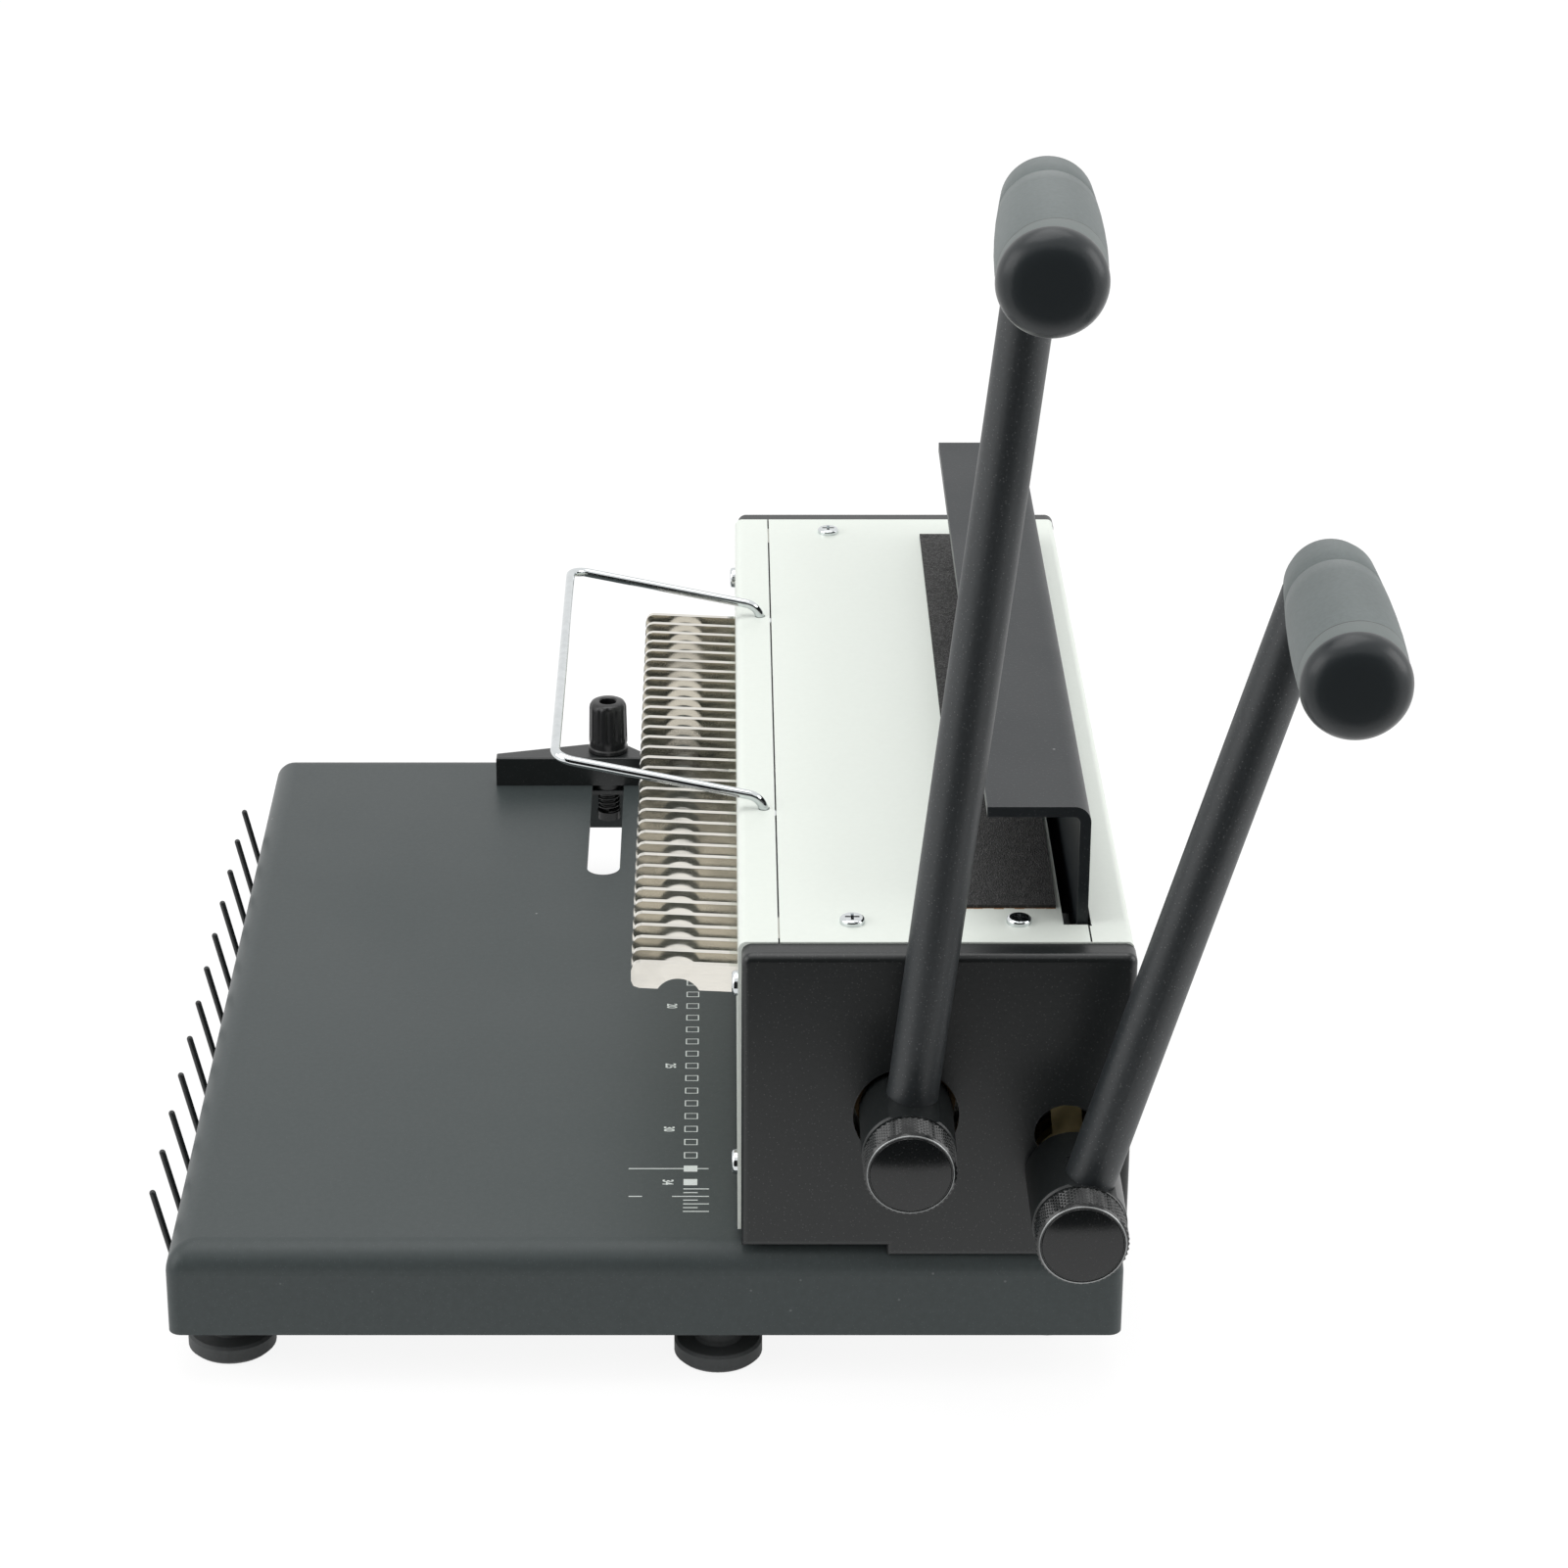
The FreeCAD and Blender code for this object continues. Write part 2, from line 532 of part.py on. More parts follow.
def coil(label, mean, wire, turns, low, high, places):
    """Compression springs, each one unbroken tube, on upright axes."""
    radius, thick, count = num(mean), num(wire), int(num(turns))
    start, end = num(low) + thick, num(high) - thick
    rise = (end - start) / (2 * math.pi * count)

    def spot(angle):
        return FreeCAD.Vector(radius * math.cos(angle), radius * math.sin(angle),
                              start + rise * angle)

    def way(angle):
        return FreeCAD.Vector(-radius * math.sin(angle), radius * math.cos(angle),
                              rise).normalize()

    edges = []
    step = math.pi / 2
    for i in range(4 * count):
        edges += biarc(spot(i * step), way(i * step), spot((i + 1) * step), way((i + 1) * step))
    pipe = Part.BRepOffsetAPI.MakePipeShell(Part.Wire(edges))
    pipe.add(Part.Wire([Part.Circle(spot(0), way(0), thick).toShape()]))
    pipe.build()
    pipe.makeSolid()
    path = [spot(i * math.pi / 30) for i in range(60 * count + 1)]
    least = min((path[i] - path[j]).Length for i in range(0, len(path), 6)
                for j in range(i + 45, len(path))) - 2 * thick
    print(f"{label}: least gap between turns {least:.2f} mm")
    source = doc.addObject("Part::Feature", label + "_turns")
    source.Shape = pipe.shape()
    keep(label, group(label, source, places))


def at_height(z):
    """Pick edges that lie in one level plane."""
    level = num(z)
    return lambda e: abs(e.BoundBox.ZMin - level) < 0.01 and abs(e.BoundBox.ZMax - level) < 0.01


def along_axis(letter):
    """Pick straight edges that run along one axis."""
    others = [a for a in "XYZ" if a != letter]
    return lambda e: (getattr(e.BoundBox, letter + "Length") > 0.5 and
                      all(getattr(e.BoundBox, a + "Length") < 0.01 for a in others))


# Base


def base_pan():
    pan = Piece("base_pan")
    pan.pad("XY_Plane", "foot_drop", "deck", rect("pan_left", "base_half", "base_front",
                                                   "base_rear"))
    pan.soften("Fillet", "pan_corner_round", along_axis("Z"))
    pan.soften("Fillet", "pan_edge_round", at_height("deck"))
    doc.recompute()
    faces = pan.last.Shape.Faces
    bottom = min(range(len(faces)), key=lambda i: faces[i].CenterOfMass.z)
    shell = pan.body.newObject("PartDesign::Thickness", "base_pan_shell")
    shell.Base = (pan.last, [f"Face{bottom + 1}"])
    tie(shell, "Value", "pan_wall")
    shell.Reversed = True
    shell.Join = "Arc"
    pan.last = shell
    pan.body.Tip = shell
    through = ("deck - pan_wall - 1", "deck + 1")
    pan.pocket("XY_Plane", *through, rect("-die_half - window_gap", "die_half + window_gap",
                                          "die_front - window_gap", "die_rear + window_gap"))
    pan.pocket("XY_Plane", *through, long_hole("slot_left + slot_width / 2",
                                               "slot_right - slot_width / 2",
                                               "slot_y", "slot_width / 2"))
    for side in ("-", ""):
        for y in DECK_SCREWS:
            pan.pocket("XY_Plane", *through, circle(f"{side}deck_screw_x", y,
                                                    "screw_radius + 0.15"))
        pan.pocket("XY_Plane", *through, circle(f"{side}rod_x", "rod_y", "screw_radius + 0.15"))
    first = pan.pocket("XZ_Plane", "base_front - 1", "base_front + pan_wall + 1",
                       circle("hang_first_x", "deck - hang_root_down", "hang_pin_radius + 0.1"))
    pan.row("X_Axis", "hang_pitch", "hang_count", first)
    pan.pocket("YZ_Plane", "pan_left - 1", "pan_left + pan_wall + 1",
               rect("tray_front - tray_flange - 0.5", "tray_rear + tray_flange + 0.5",
                    "foot_drop - 1", "tray_high + 0.4"))
    ledge = "tray_high - tray_sheet - 0.1"
    for sign, edge in (("-", "tray_front - tray_flange"), ("+", "tray_rear + tray_flange")):
        back = "+" if sign == "-" else "-"
        wall = sorted((f"{edge} {sign} 0.4", f"{edge} {sign} 1.9"), key=num)
        shelf = sorted((f"{edge} {back} 3.5", f"{edge} {sign} 1.9"), key=num)
        pan.pad("YZ_Plane", "pan_left + 4", "tray_right - 6",
                rect(*wall, f"{ledge} - 1.5", "deck - pan_wall + 0.5"))
        pan.pad("YZ_Plane", "pan_left + 4", "tray_right - 6",
                rect(*shelf, f"{ledge} - 1.5", ledge))
    keep("base_pan", pan.body)


def feet():
    foot = Piece("foot")
    foot.turn("XZ_Plane", "V", poly(
        ("foot_screw_radius + 0.1", "3"), ("foot_screw_radius + 2.6", "3"),
        ("foot_screw_radius + 2.6", "0"), ("foot_radius - 1.2", "0"), ("foot_radius", "1.2"),
        ("foot_radius", "foot_rim - 0.8"), ("foot_radius - 0.8", "foot_rim"),
        ("foot_stem_radius + 1", "foot_rim"), ("foot_stem_radius", "foot_rim + 1"),
        ("foot_stem_radius", "foot_stem_top"), ("foot_screw_radius + 0.1", "foot_stem_top")))
    rows = [(f"foot_{row}_x", f"foot_{row}_y") for row in ("front", "middle", "rear")]
    places = [(f"{side}{x}", y, "0") for x, y in rows for side in ("-", "")]
    keep("rubber_feet", group("rubber_feet", foot.body, places))

    post = cut("post", rod("post_bar", "Z", "0", "0", "foot_stem_top",
                           "deck - pan_wall - foot_stem_top", "foot_post_radius"),
               rod("post_bore", "Z", "0", "0", "foot_stem_top - 1", "17",
                   "foot_screw_radius + 0.1"))
    keep("foot_posts", group("foot_posts", post, places))

    screw = join("foot_screw", rod("foot_shank", "Z", "0", "0", "2", "32", "foot_screw_radius"),
                 rod("foot_head", "Z", "0", "0", "0.8", "2.2", "foot_screw_radius + 2.2"))
    keep("foot_screws", group("foot_screws", screw, places))


def hanging_pins():
    lean = math.tan(math.radians(num("hang_lean")))
    root_z = num("deck - hang_root_down")
    tip = vec("0", "base_front - hang_tip_reach", "deck + hang_tip_up")
    knee = FreeCAD.Vector(0, tip.y + lean * (tip.z - root_z), root_z)
    start = vec("0", "base_front + pan_wall + strip_thick", "deck - hang_root_down")
    radius = num("hang_pin_radius")
    wire = along([start, knee, tip], 1.6 * radius, radius)
    pin = doc.addObject("Part::Feature", "hanging_pin")
    pin.Shape = wire.fuse(Part.makeSphere(radius, tip)).removeSplitter()
    places = [(f"hang_first_x + {i} * hang_pitch", "0", "0")
              for i in range(int(num("hang_count")))]
    keep("hanging_pins", group("hanging_pins", pin, places))

    strip = Piece("pin_strip")
    strip.pad("XZ_Plane", "base_front + pan_wall", "base_front + pan_wall + strip_thick",
              rect("hang_first_x - strip_end",
                   "hang_first_x + strip_end + hang_pitch * (hang_count - 1)",
                   "deck - hang_root_down - strip_height / 2",
                   "deck - hang_root_down + strip_height / 2"))
    hole = strip.pocket("XZ_Plane", "base_front + pan_wall - 1",
                        "base_front + pan_wall + strip_thick + 1",
                        circle("hang_first_x", "deck - hang_root_down", "hang_pin_radius + 0.03"))
    strip.row("X_Axis", "hang_pitch", "hang_count", hole)
    keep("pin_strip", strip.body)


def edge_guide():
    bar = Piece("edge_guide_bar")
    thin = "guide_face_x - guide_thick"
    deep = "guide_face_x - guide_boss"
    bar.pad("XY_Plane", "deck + 0.1", "deck + guide_height", poly(
        ("guide_face_x", "guide_front"), ("guide_face_x", "guide_rear"), (thin, "guide_rear"),
        (thin, "slot_y + 12"), (deep, "slot_y + 6"), (deep, "slot_y - 8"),
        (f"{thin} + guide_taper", "guide_front")))
    bar.soften("Fillet", "0.8", at_height("deck + guide_height"))
    bar.pad("XY_Plane", "deck - pan_wall + 0.2", "deck + 0.2",
            long_hole("stud_x", "stud_x + 2.4", "slot_y", "slot_width / 2 - key_gap"))
    bar.pocket("XY_Plane", "deck - pan_wall", "deck + guide_height + 1",
               circle("stud_x", "slot_y", "stud_radius + 0.05"))
    keep("edge_guide_bar", bar.body)

    keep("edge_guide_stud", join(
        "edge_guide_stud",
        rod("stud_rod", "Z", "stud_x", "slot_y", "deck - stud_drop", "stud_drop + guide_height + 12",
            "stud_radius"),
        rod("stud_tip", "Z", "stud_x", "slot_y", "deck - stud_drop", "3", "stud_radius + 1.7")))
    washer = cut("edge_guide_washer",
                 block("washer_plate", ("stud_x - 8", "stud_x + 8"), ("slot_y - 8", "slot_y + 8"),
                       ("deck - pan_wall - 1.6", "deck - pan_wall - 0.1")),
                 rod("washer_hole", "Z", "stud_x", "slot_y", "deck - pan_wall - 3", "5",
                     "stud_radius + 0.1"))
    keep("edge_guide_washer", washer)
    coil("edge_guide_spring", "stud_radius + 1.1", "0.4", "5", "deck - stud_drop + 3",
         "deck - pan_wall - 1.6", [("stud_x", "slot_y", "0")])

    knob = Piece("edge_guide_knob")
    low, high = "deck + guide_height + 0.1", "deck + guide_height + guide_knob_height"
    tip = "guide_knob_radius - guide_knob_taper"
    knob.turn("XZ_Plane", "V", poly(
        ("stud_radius + 0.1", low), ("guide_knob_radius", low),
        ("guide_knob_radius", f"{low} + 1.5"), ("guide_knob_radius - 0.5", f"{low} + 2"),
        ("guide_knob_radius - 0.5", f"{low} + 3"), ("guide_knob_radius", f"{low} + 3.5"),
        (tip, f"{high} - 1"), (f"{tip} - 1", high), ("guide_knob_bore", high),
        ("guide_knob_bore", f"{high} - 7"), ("stud_radius + 0.1", f"{high} - 7")))
    flute = knob.pocket("XY_Plane", f"{low} + 4.5", f"{high} + 1",
                        circle("guide_knob_radius + 0.35", "0", "0.8"))
    knob.ring("Z_Axis", 18, flute)
    put(knob.body, "stud_x", "slot_y", "0")
    keep("edge_guide_knob", knob.body)


def chip_tray():
    low, high = "tray_low", "tray_high"
    tray = cut("chip_tray",
               join("tray_outer",
                    block("tray_box", ("pan_left", "tray_right"), ("tray_front", "tray_rear"),
                          (low, high)),
                    block("tray_lips", ("pan_left", "tray_right"),
                          ("tray_front - tray_flange", "tray_rear + tray_flange"),
                          (f"{high} - tray_sheet", high)),
                    block("tray_face", ("pan_left - tray_plate - 0.2", "pan_left - 0.2"),
                          ("tray_front - tray_flange - 2", "tray_rear + tray_flange + 2"),
                          ("foot_drop + 0.5", f"{high} + 2")),
                    block("tray_neck", ("pan_left - 1", "pan_left + 1"),
                          ("tray_front", "tray_rear"), (low, high)),
                    block("tray_pull",
                          ("pan_left - tray_plate - tray_lip - 2", "pan_left - tray_plate"),
                          ("tray_front + 14", "tray_rear - 14"),
                          ("foot_drop + 8", "foot_drop + 10.5"))),
               block("tray_inside", ("pan_left + 2", "tray_right - tray_sheet"),
                     ("tray_front + tray_sheet", "tray_rear - tray_sheet"),
                     ("tray_low + tray_sheet", f"{high} + 1")))
    keep("chip_tray", tray)


# Frame plates and housing


def side_plate(label, side):
    """One folded frame plate: an upright web with inward flanges."""
    plate = Piece(label)
    outer, inner = ("web_outer", "web_inner")
    edge = "web_outer - web_flange"
    top = "deck + web_top"

    def span(low, high):
        return (low, high) if side > 0 else (f"-({high})", f"-({low})")

    plate.pad("YZ_Plane", *span(inner, outer), poly(
        ("web_front", "throat_top + 4"), ("web_front", top),
        ("web_rear - rear_edge_round", top), ("web_rear", f"{top} - rear_edge_round"),
        ("web_rear", "deck"), ("die_rear + 2", "deck"), ("die_rear + 2", "throat_top"),
        ("die_front - 2", "throat_top"), ("die_front - 2", "deck"), ("foot_start", "deck"),
        ("foot_start", "throat_top + 4")))
    for low, high, z_low, z_high in (
            ("web_front", "web_front + web_sheet", "deck + 8", "deck + 92"),
            ("web_front", "anvil_front - 5", "deck + web_top - web_sheet", top),
            ("web_rear - web_sheet", "web_rear", "deck + 8", f"{top} - rear_edge_round - 1"),
            ("foot_start", "die_front - 2", "deck", "deck + web_sheet"),
            ("die_rear + 2", "web_rear", "deck", "deck + web_sheet")):
        plate.pad("YZ_Plane", *span(edge, f"{inner} + 0.5"), rect(low, high, z_low, z_high))
    plate.pocket("YZ_Plane", *span(f"{inner} - 1", f"{outer} + 1"),
                 circle("punch_y", "punch_z", "shaft_radius + bush_wall + fit_gap"),
                 circle("closing_y", "closing_z", "closing_shaft_radius + bush_wall + fit_gap"))
    holes = [circle(y, f"deck + {z}", "stud_hole_radius")
             for y, z in COVER_STUDS]
    carrier = [circle("carrier_front + carrier_depth / 2", "deck + comb_top - 4", "2.1")]
    anvil = [circle(y, "deck + (anvil_low + web_top) / 2", "2.1") for y in ANVIL_SCREWS]
    block_holes = [circle(y, "throat_top + guide_block_thick / 2", "2.1")
                   for y in BLOCK_SCREWS]
    plate.pocket("YZ_Plane", *span(f"{inner} - 1", f"{outer} + 1"),
                 *holes, *carrier, *anvil, *block_holes)
    sign = "" if side > 0 else "-"
    for y in DECK_SCREWS:
        plate.pocket("XY_Plane", "deck - 1", "deck + web_sheet + 1",
                     circle(f"{sign}deck_screw_x", y, "screw_radius + 0.15"))
    for z in ("end_screw_low", "end_screw_high"):
        for y_low, y_high in (("web_front - 1", "web_front + web_sheet + 1"),
                              ("web_rear - web_sheet - 1", "web_rear + 1")):
            plate.pocket("XZ_Plane", y_low, y_high,
                         circle(f"{sign}end_screw_x", f"deck + {z}", "screw_radius + 0.1"))
    plate.pocket("XY_Plane", "deck + web_top - web_sheet - 1", "deck + web_top + 1",
                 circle(f"{sign}top_screw_x", "top_screw_front", "screw_radius + 0.1"))
    if side > 0:
        for y, z in stop_pin_spots():
            plate.pad("YZ_Plane", f"{inner} + 0.5", f"{outer} + bush_flange + stop_arm_thick + 1",
                      circle(y, z, "stop_pin_radius"))
    keep(label, plate.body)


def stop_pin_spots():
    """Where the stop arm meets its rear pin at rest and its front pin at full swing."""
    away = "(stop_arm_half + stop_pin_radius + seat_gap)"
    spots = []
    for lean, sense in (("stop_arm_lean", "+"), ("(stop_arm_lean + closing_range)", "-")):
        spots.append((f"closing_y - stop_pin_out * sin({lean}) {sense} {away} * cos({lean})",
                      f"closing_z + stop_pin_out * cos({lean}) {sense} {away} * sin({lean})"))
    return spots


def frame_screws():
    """Screws that hold the frame plates to the deck and the cross bars to the frame plates."""
    upright = join("frame_screw",
                   rod("frame_shank", "Z", "0", "0", "-7", "7.5", "screw_radius"),
                   rod("frame_head", "Z", "0", "0", "0", "2.4", "screw_head_radius"))
    places = [(f"{side}deck_screw_x", y, "deck + web_sheet") for side in ("-", "")
              for y in DECK_SCREWS]
    crossways = [("carrier_front + carrier_depth / 2", "deck + comb_top - 4")]
    crossways += [(y, "deck + (anvil_low + web_top) / 2") for y in ANVIL_SCREWS]
    crossways += [(y, "throat_top + guide_block_thick / 2") for y in BLOCK_SCREWS]
    out = FreeCAD.Rotation(FreeCAD.Vector(0, 1, 0), 90)
    back = FreeCAD.Rotation(FreeCAD.Vector(0, 1, 0), -90)
    for y, z in crossways:
        places.append(("web_outer", y, z, out))
        places.append(("-web_outer", y, z, back))
    keep("frame_screws", group("frame_screws", upright, places))


def comb_plates():
    carrier = Piece("comb_carrier")
    low, high = "deck + comb_top - comb_height / 2 - carrier_height / 2", \
                "deck + comb_top - comb_height / 2 + carrier_height / 2"
    carrier.pad("XY_Plane", low, high, rect("-web_inner + 0.1", "web_inner - 0.1",
                                            "carrier_front", "carrier_front + carrier_depth"))
    groove = carrier.pocket("XZ_Plane", "carrier_front - 1", "comb_root + 0.05",
                            rect("comb_first_x - comb_thick / 2 - 0.02",
                                 "comb_first_x + comb_thick / 2 + 0.02",
                                 "deck + comb_top - comb_height - 0.02",
                                 "deck + comb_top + 0.02"))
    carrier.row("X_Axis", "comb_pitch", "comb_count", groove)
    for side in ("-", ""):
        carrier.pocket("YZ_Plane", *sorted((f"{side}(web_inner - 8)", f"{side}(web_inner + 1)"),
                                           key=num),
                       circle("carrier_front + carrier_depth / 2", "deck + comb_top - 4",
                              "screw_radius + 0.05"))
    keep("comb_carrier", carrier.body)

    plate = Piece("comb_plates")
    top, bottom = "deck + comb_top", "deck + comb_top - comb_height"
    first = plate.pad("YZ_Plane", "comb_first_x - comb_thick / 2", "comb_first_x + comb_thick / 2",
                      poly(("comb_nose", f"{bottom} + comb_rise + 2.4"),
                           ("comb_nose", f"{top} + comb_rise - 2.8"),
                           ("comb_nose + 0.5", f"{top} + comb_rise - 1.3"),
                           ("comb_nose + 1.4", f"{top} + comb_rise - 0.4"),
                           ("comb_nose + 2.8", f"{top} + comb_rise"), ("housing_front", top),
                           ("comb_root", top), ("comb_root", bottom), ("housing_front", bottom),
                           ("comb_nose + 2.4", f"{bottom} + comb_rise"),
                           ("comb_nose + 0.7", f"{bottom} + comb_rise + 0.7")))
    arc = plate.pocket("YZ_Plane", "comb_first_x - comb_thick", "comb_first_x + comb_thick",
                       circle("comb_arc_y", f"{bottom} + comb_rise / 2 + comb_arc_depth"
                              " - comb_arc_radius", "comb_arc_radius"))
    plate.row("X_Axis", "comb_pitch", "comb_count", first, arc)
    keep("comb_plates", plate.body)


def front_cover():
    cover = Piece("front_cover")
    top = "deck + housing_height"
    inner = "housing_front + cover_sheet"
    cover.pad("YZ_Plane", "-housing_half", "housing_half", poly(
        ("housing_front", "throat_top"), (inner, "throat_top"), (inner, f"{top} - cover_sheet"),
        ("strip_rear", f"{top} - cover_sheet"), ("strip_rear", top), ("housing_front", top)))
    edge = num(top)
    cover.soften("Fillet", "cover_edge_round",
                 lambda e: along_axis("X")(e) and abs(e.BoundBox.ZMin - edge) < 0.01
                 and abs(e.BoundBox.YMin - num("housing_front")) < 0.01)
    slot = cover.pocket("XZ_Plane", "housing_front - 1", f"{inner} + 1",
                        rect("comb_first_x - comb_thick / 2 - 0.3",
                             "comb_first_x + comb_thick / 2 + 0.3",
                             "deck + comb_top - comb_height - 0.4", "deck + comb_top + 0.4"))
    cover.row("X_Axis", "comb_pitch", "comb_count", slot)
    cover.pocket("XY_Plane", f"{top} - cover_sheet - 1", f"{top} + 1",
                 circle("-bail_half", "bail_hole_y", "bail_radius + 0.3"),
                 circle("bail_half", "bail_hole_y", "bail_radius + 0.3"))
    screws = [circle(f"{side}end_screw_x", f"deck + {z}", "screw_radius + 0.1")
              for side in ("-", "") for z in ("end_screw_low", "end_screw_high")]
    cover.pocket("XZ_Plane", "housing_front - 1", f"{inner} + 1", *screws)
    keep("front_cover", cover.body)


def top_cover():
    cover = Piece("top_cover")
    top = "deck + housing_height"
    front = "strip_rear + seam_gap"
    cover.pad("YZ_Plane", "-housing_half", "housing_half", poly(
        (front, f"{top} - cover_sheet"), ("housing_rear - cover_sheet", f"{top} - cover_sheet"),
        ("housing_rear - cover_sheet", "deck + 0.4"), ("housing_rear", "deck + 0.4"),
        ("housing_rear", top), (front, top)))

    def rear_edge(y, z):
        return lambda e: (along_axis("X")(e) and abs(e.BoundBox.ZMin - num(z)) < 0.01
                          and abs(e.BoundBox.YMin - num(y)) < 0.01)

    cover.soften("Fillet", "rear_edge_round", rear_edge("housing_rear", top))
    cover.soften("Fillet", "rear_edge_round - cover_sheet",
                 rear_edge("housing_rear - cover_sheet", f"{top} - cover_sheet"))
    through = (f"{top} - cover_sheet - 1", f"{top} + 1")
    cover.pocket("XY_Plane", *through, rect("jaw_left - jaw_slot_gap", "jaw_right + jaw_slot_gap",
                                            "jaw_slot_front", "jaw_slot_rear"))
    cover.pocket("XY_Plane", *through,
                 *[circle(f"{side}top_screw_x", y, "screw_radius + 0.1")
                   for side in ("-", "") for y in ("top_screw_front", "top_screw_rear")])
    cover.pocket("XZ_Plane", "housing_rear - cover_sheet - 1", "housing_rear + 1",
                 *[circle(f"{side}end_screw_x", f"deck + {z}", "screw_radius + 0.1")
                   for side in ("-", "") for z in ("end_screw_low", "end_screw_high")])
    keep("top_cover", cover.body)


def side_cover(label, side):
    cover = Piece(label)
    top = "deck + housing_height - side_cover_down"
    front, rear = "housing_front + 1", "housing_rear + 0.5"
    lift, foot = "deck + side_cover_lift", "deck + side_cover_toe"
    step_low = "deck - side_cover_hang" if side > 0 else lift
    rim = "side_cover_sheet"

    def span(low, high):
        return (low, high) if side > 0 else (f"-({high})", f"-({low})")

    cover.pad("YZ_Plane", *span("housing_half", "cover_half"), poly(
        (front, foot), ("step_y", foot), ("step_y", step_low),
        (rear, step_low), (rear, top), (front, top)))
    face = num("cover_half") * side

    def corner(e):
        box = e.BoundBox
        return (along_axis("X")(e) and box.ZMin > num("deck + 50"))

    cover.soften("Fillet", "side_cover_round", corner)
    cover.soften("Fillet", "side_cover_round - 0.8",
                 lambda e: abs(e.BoundBox.XMin - face) < 0.01 and abs(e.BoundBox.XMax - face) < 0.01)
    cover.pocket("YZ_Plane", *span("housing_half - 1", "cover_half - side_cover_sheet"), poly(
        (f"{front} + {rim}", f"{foot} + {rim}"),
        (f"step_y + {rim}", f"{foot} + {rim}"),
        (f"step_y + {rim}", f"{lift} + {rim}"),
        (f"{rear} - {rim}", f"{lift} + {rim}"), (f"{rear} - {rim}", f"{top} - {rim}"),
        (f"{front} + {rim}", f"{top} - {rim}")))
    if side > 0:
        cover.pocket("YZ_Plane", *span("housing_half - 1", "cover_half - side_cover_sheet"),
                     rect("step_y - 1", f"{rear} + 1", f"{step_low} - 1", lift))
    studs = [circle(y, f"deck + {z}", "stud_hole_radius - 0.1")
             for y, z in COVER_STUDS]
    cover.pad("YZ_Plane", *span("web_inner - 3.3", "cover_half - side_cover_sheet + 0.5"), *studs)
    if side > 0:
        through = span("cover_half - side_cover_sheet - 1", "cover_half + 1")
        cover.pocket("YZ_Plane", *through, circle("punch_y", "punch_z", "hub_hole_radius"),
                     circle("rear_hole_y", "rear_hole_z", "rear_hole_radius"))
        cover.pocket("YZ_Plane", *through,
                     circle("closing_y", "closing_z", "closing_shaft_radius + 1.5"))
    keep(label, cover.body)


def side_cover_nuts():
    nut = cut("side_nut", rod("side_nut_bar", "Z", "0", "0", "0", "3.2", "3.6"),
              rod("side_nut_hole", "Z", "0", "0", "-1", "6", "stud_hole_radius - 0.05"))
    inward = FreeCAD.Rotation(FreeCAD.Vector(0, 1, 0), -90)
    outward = FreeCAD.Rotation(FreeCAD.Vector(0, 1, 0), 90)
    places = []
    for y, z in COVER_STUDS:
        places.append(("web_inner", y, f"deck + {z}", inward))
        places.append(("-web_inner", y, f"deck + {z}", outward))
    keep("side_cover_nuts", group("side_cover_nuts", nut, places))


def anti_slip_strip():
    keep("anti_slip_strip", block("anti_slip_strip", ("grit_left", "grit_right"),
                                  ("grit_rear - grit_wide", "grit_rear"),
                                  ("deck + housing_height", "deck + housing_height + grit_thick")))


def wire_bail():
    roof = "deck + housing_height"
    low, rise, top = f"{roof} - 6", f"{roof} + bail_rise", f"{roof} + bail_tip_rise"
    points = [vec("-bail_half", "bail_hole_y", low), vec("-bail_half", "bail_hole_y", rise),
              vec("-bail_half", "bail_tip_y", top), vec("bail_half", "bail_tip_y", top),
              vec("bail_half", "bail_hole_y", rise), vec("bail_half", "bail_hole_y", low)]
    wire = doc.addObject("Part::Feature", "bail_wire")
    wire.Shape = along(points, num("bail_bend"), num("bail_radius"))
    collars = [rod(f"bail_collar_{i}", "Z", x, "bail_hole_y",
                   "deck + housing_height - cover_sheet - 1.6", "1.5", "bail_radius + 2.5")
               for i, x in enumerate(("-bail_half", "bail_half"))]
    keep("wire_bail", join("wire_bail", wire, *collars))


def cover_screws():
    """Pan head screws with a cross recess on the top, front and rear of the housing."""
    head = Piece("cover_screw")
    head.pad("XY_Plane", "0", "screw_head_height", circle("0", "0", "screw_head_radius"))
    head.soften("Fillet", "screw_head_height - 0.8", at_height("screw_head_height"))
    head.pad("XY_Plane", "-screw_long", "0.2", circle("0", "0", "screw_radius"))
    for a, b in (("2.1", "0.45"), ("0.45", "2.1")):
        head.pocket("XY_Plane", "screw_head_height - 1.3", "screw_head_height + 1",
                    rect(f"-{a}", a, f"-{b}", b))
    forward = FreeCAD.Rotation(FreeCAD.Vector(1, 0, 0), 90)
    rearward = FreeCAD.Rotation(FreeCAD.Vector(1, 0, 0), -90)
    places = []
    for side in ("-", ""):
        for y in ("top_screw_front", "top_screw_rear"):
            places.append((f"{side}top_screw_x", y, "deck + housing_height"))
        for z in ("end_screw_low", "end_screw_high"):
            places.append((f"{side}end_screw_x", "housing_front", f"deck + {z}", forward))
            places.append((f"{side}end_screw_x", "housing_rear", f"deck + {z}", rearward))
    keep("cover_screws", group("cover_screws", head.body, places))


# Die set and punch drive


def square_holes(piece, low, high, side, pitch="hole_pitch", count="hole_count"):
    """The row of square holes that the punch pins pass through."""
    hole = piece.pocket("XY_Plane", low, high, rect(
        f"pin_first_x - ({side}) / 2", f"pin_first_x + ({side}) / 2",
        f"pin_y - ({side}) / 2", f"pin_y + ({side}) / 2"))
    piece.row("X_Axis", pitch, count, hole)


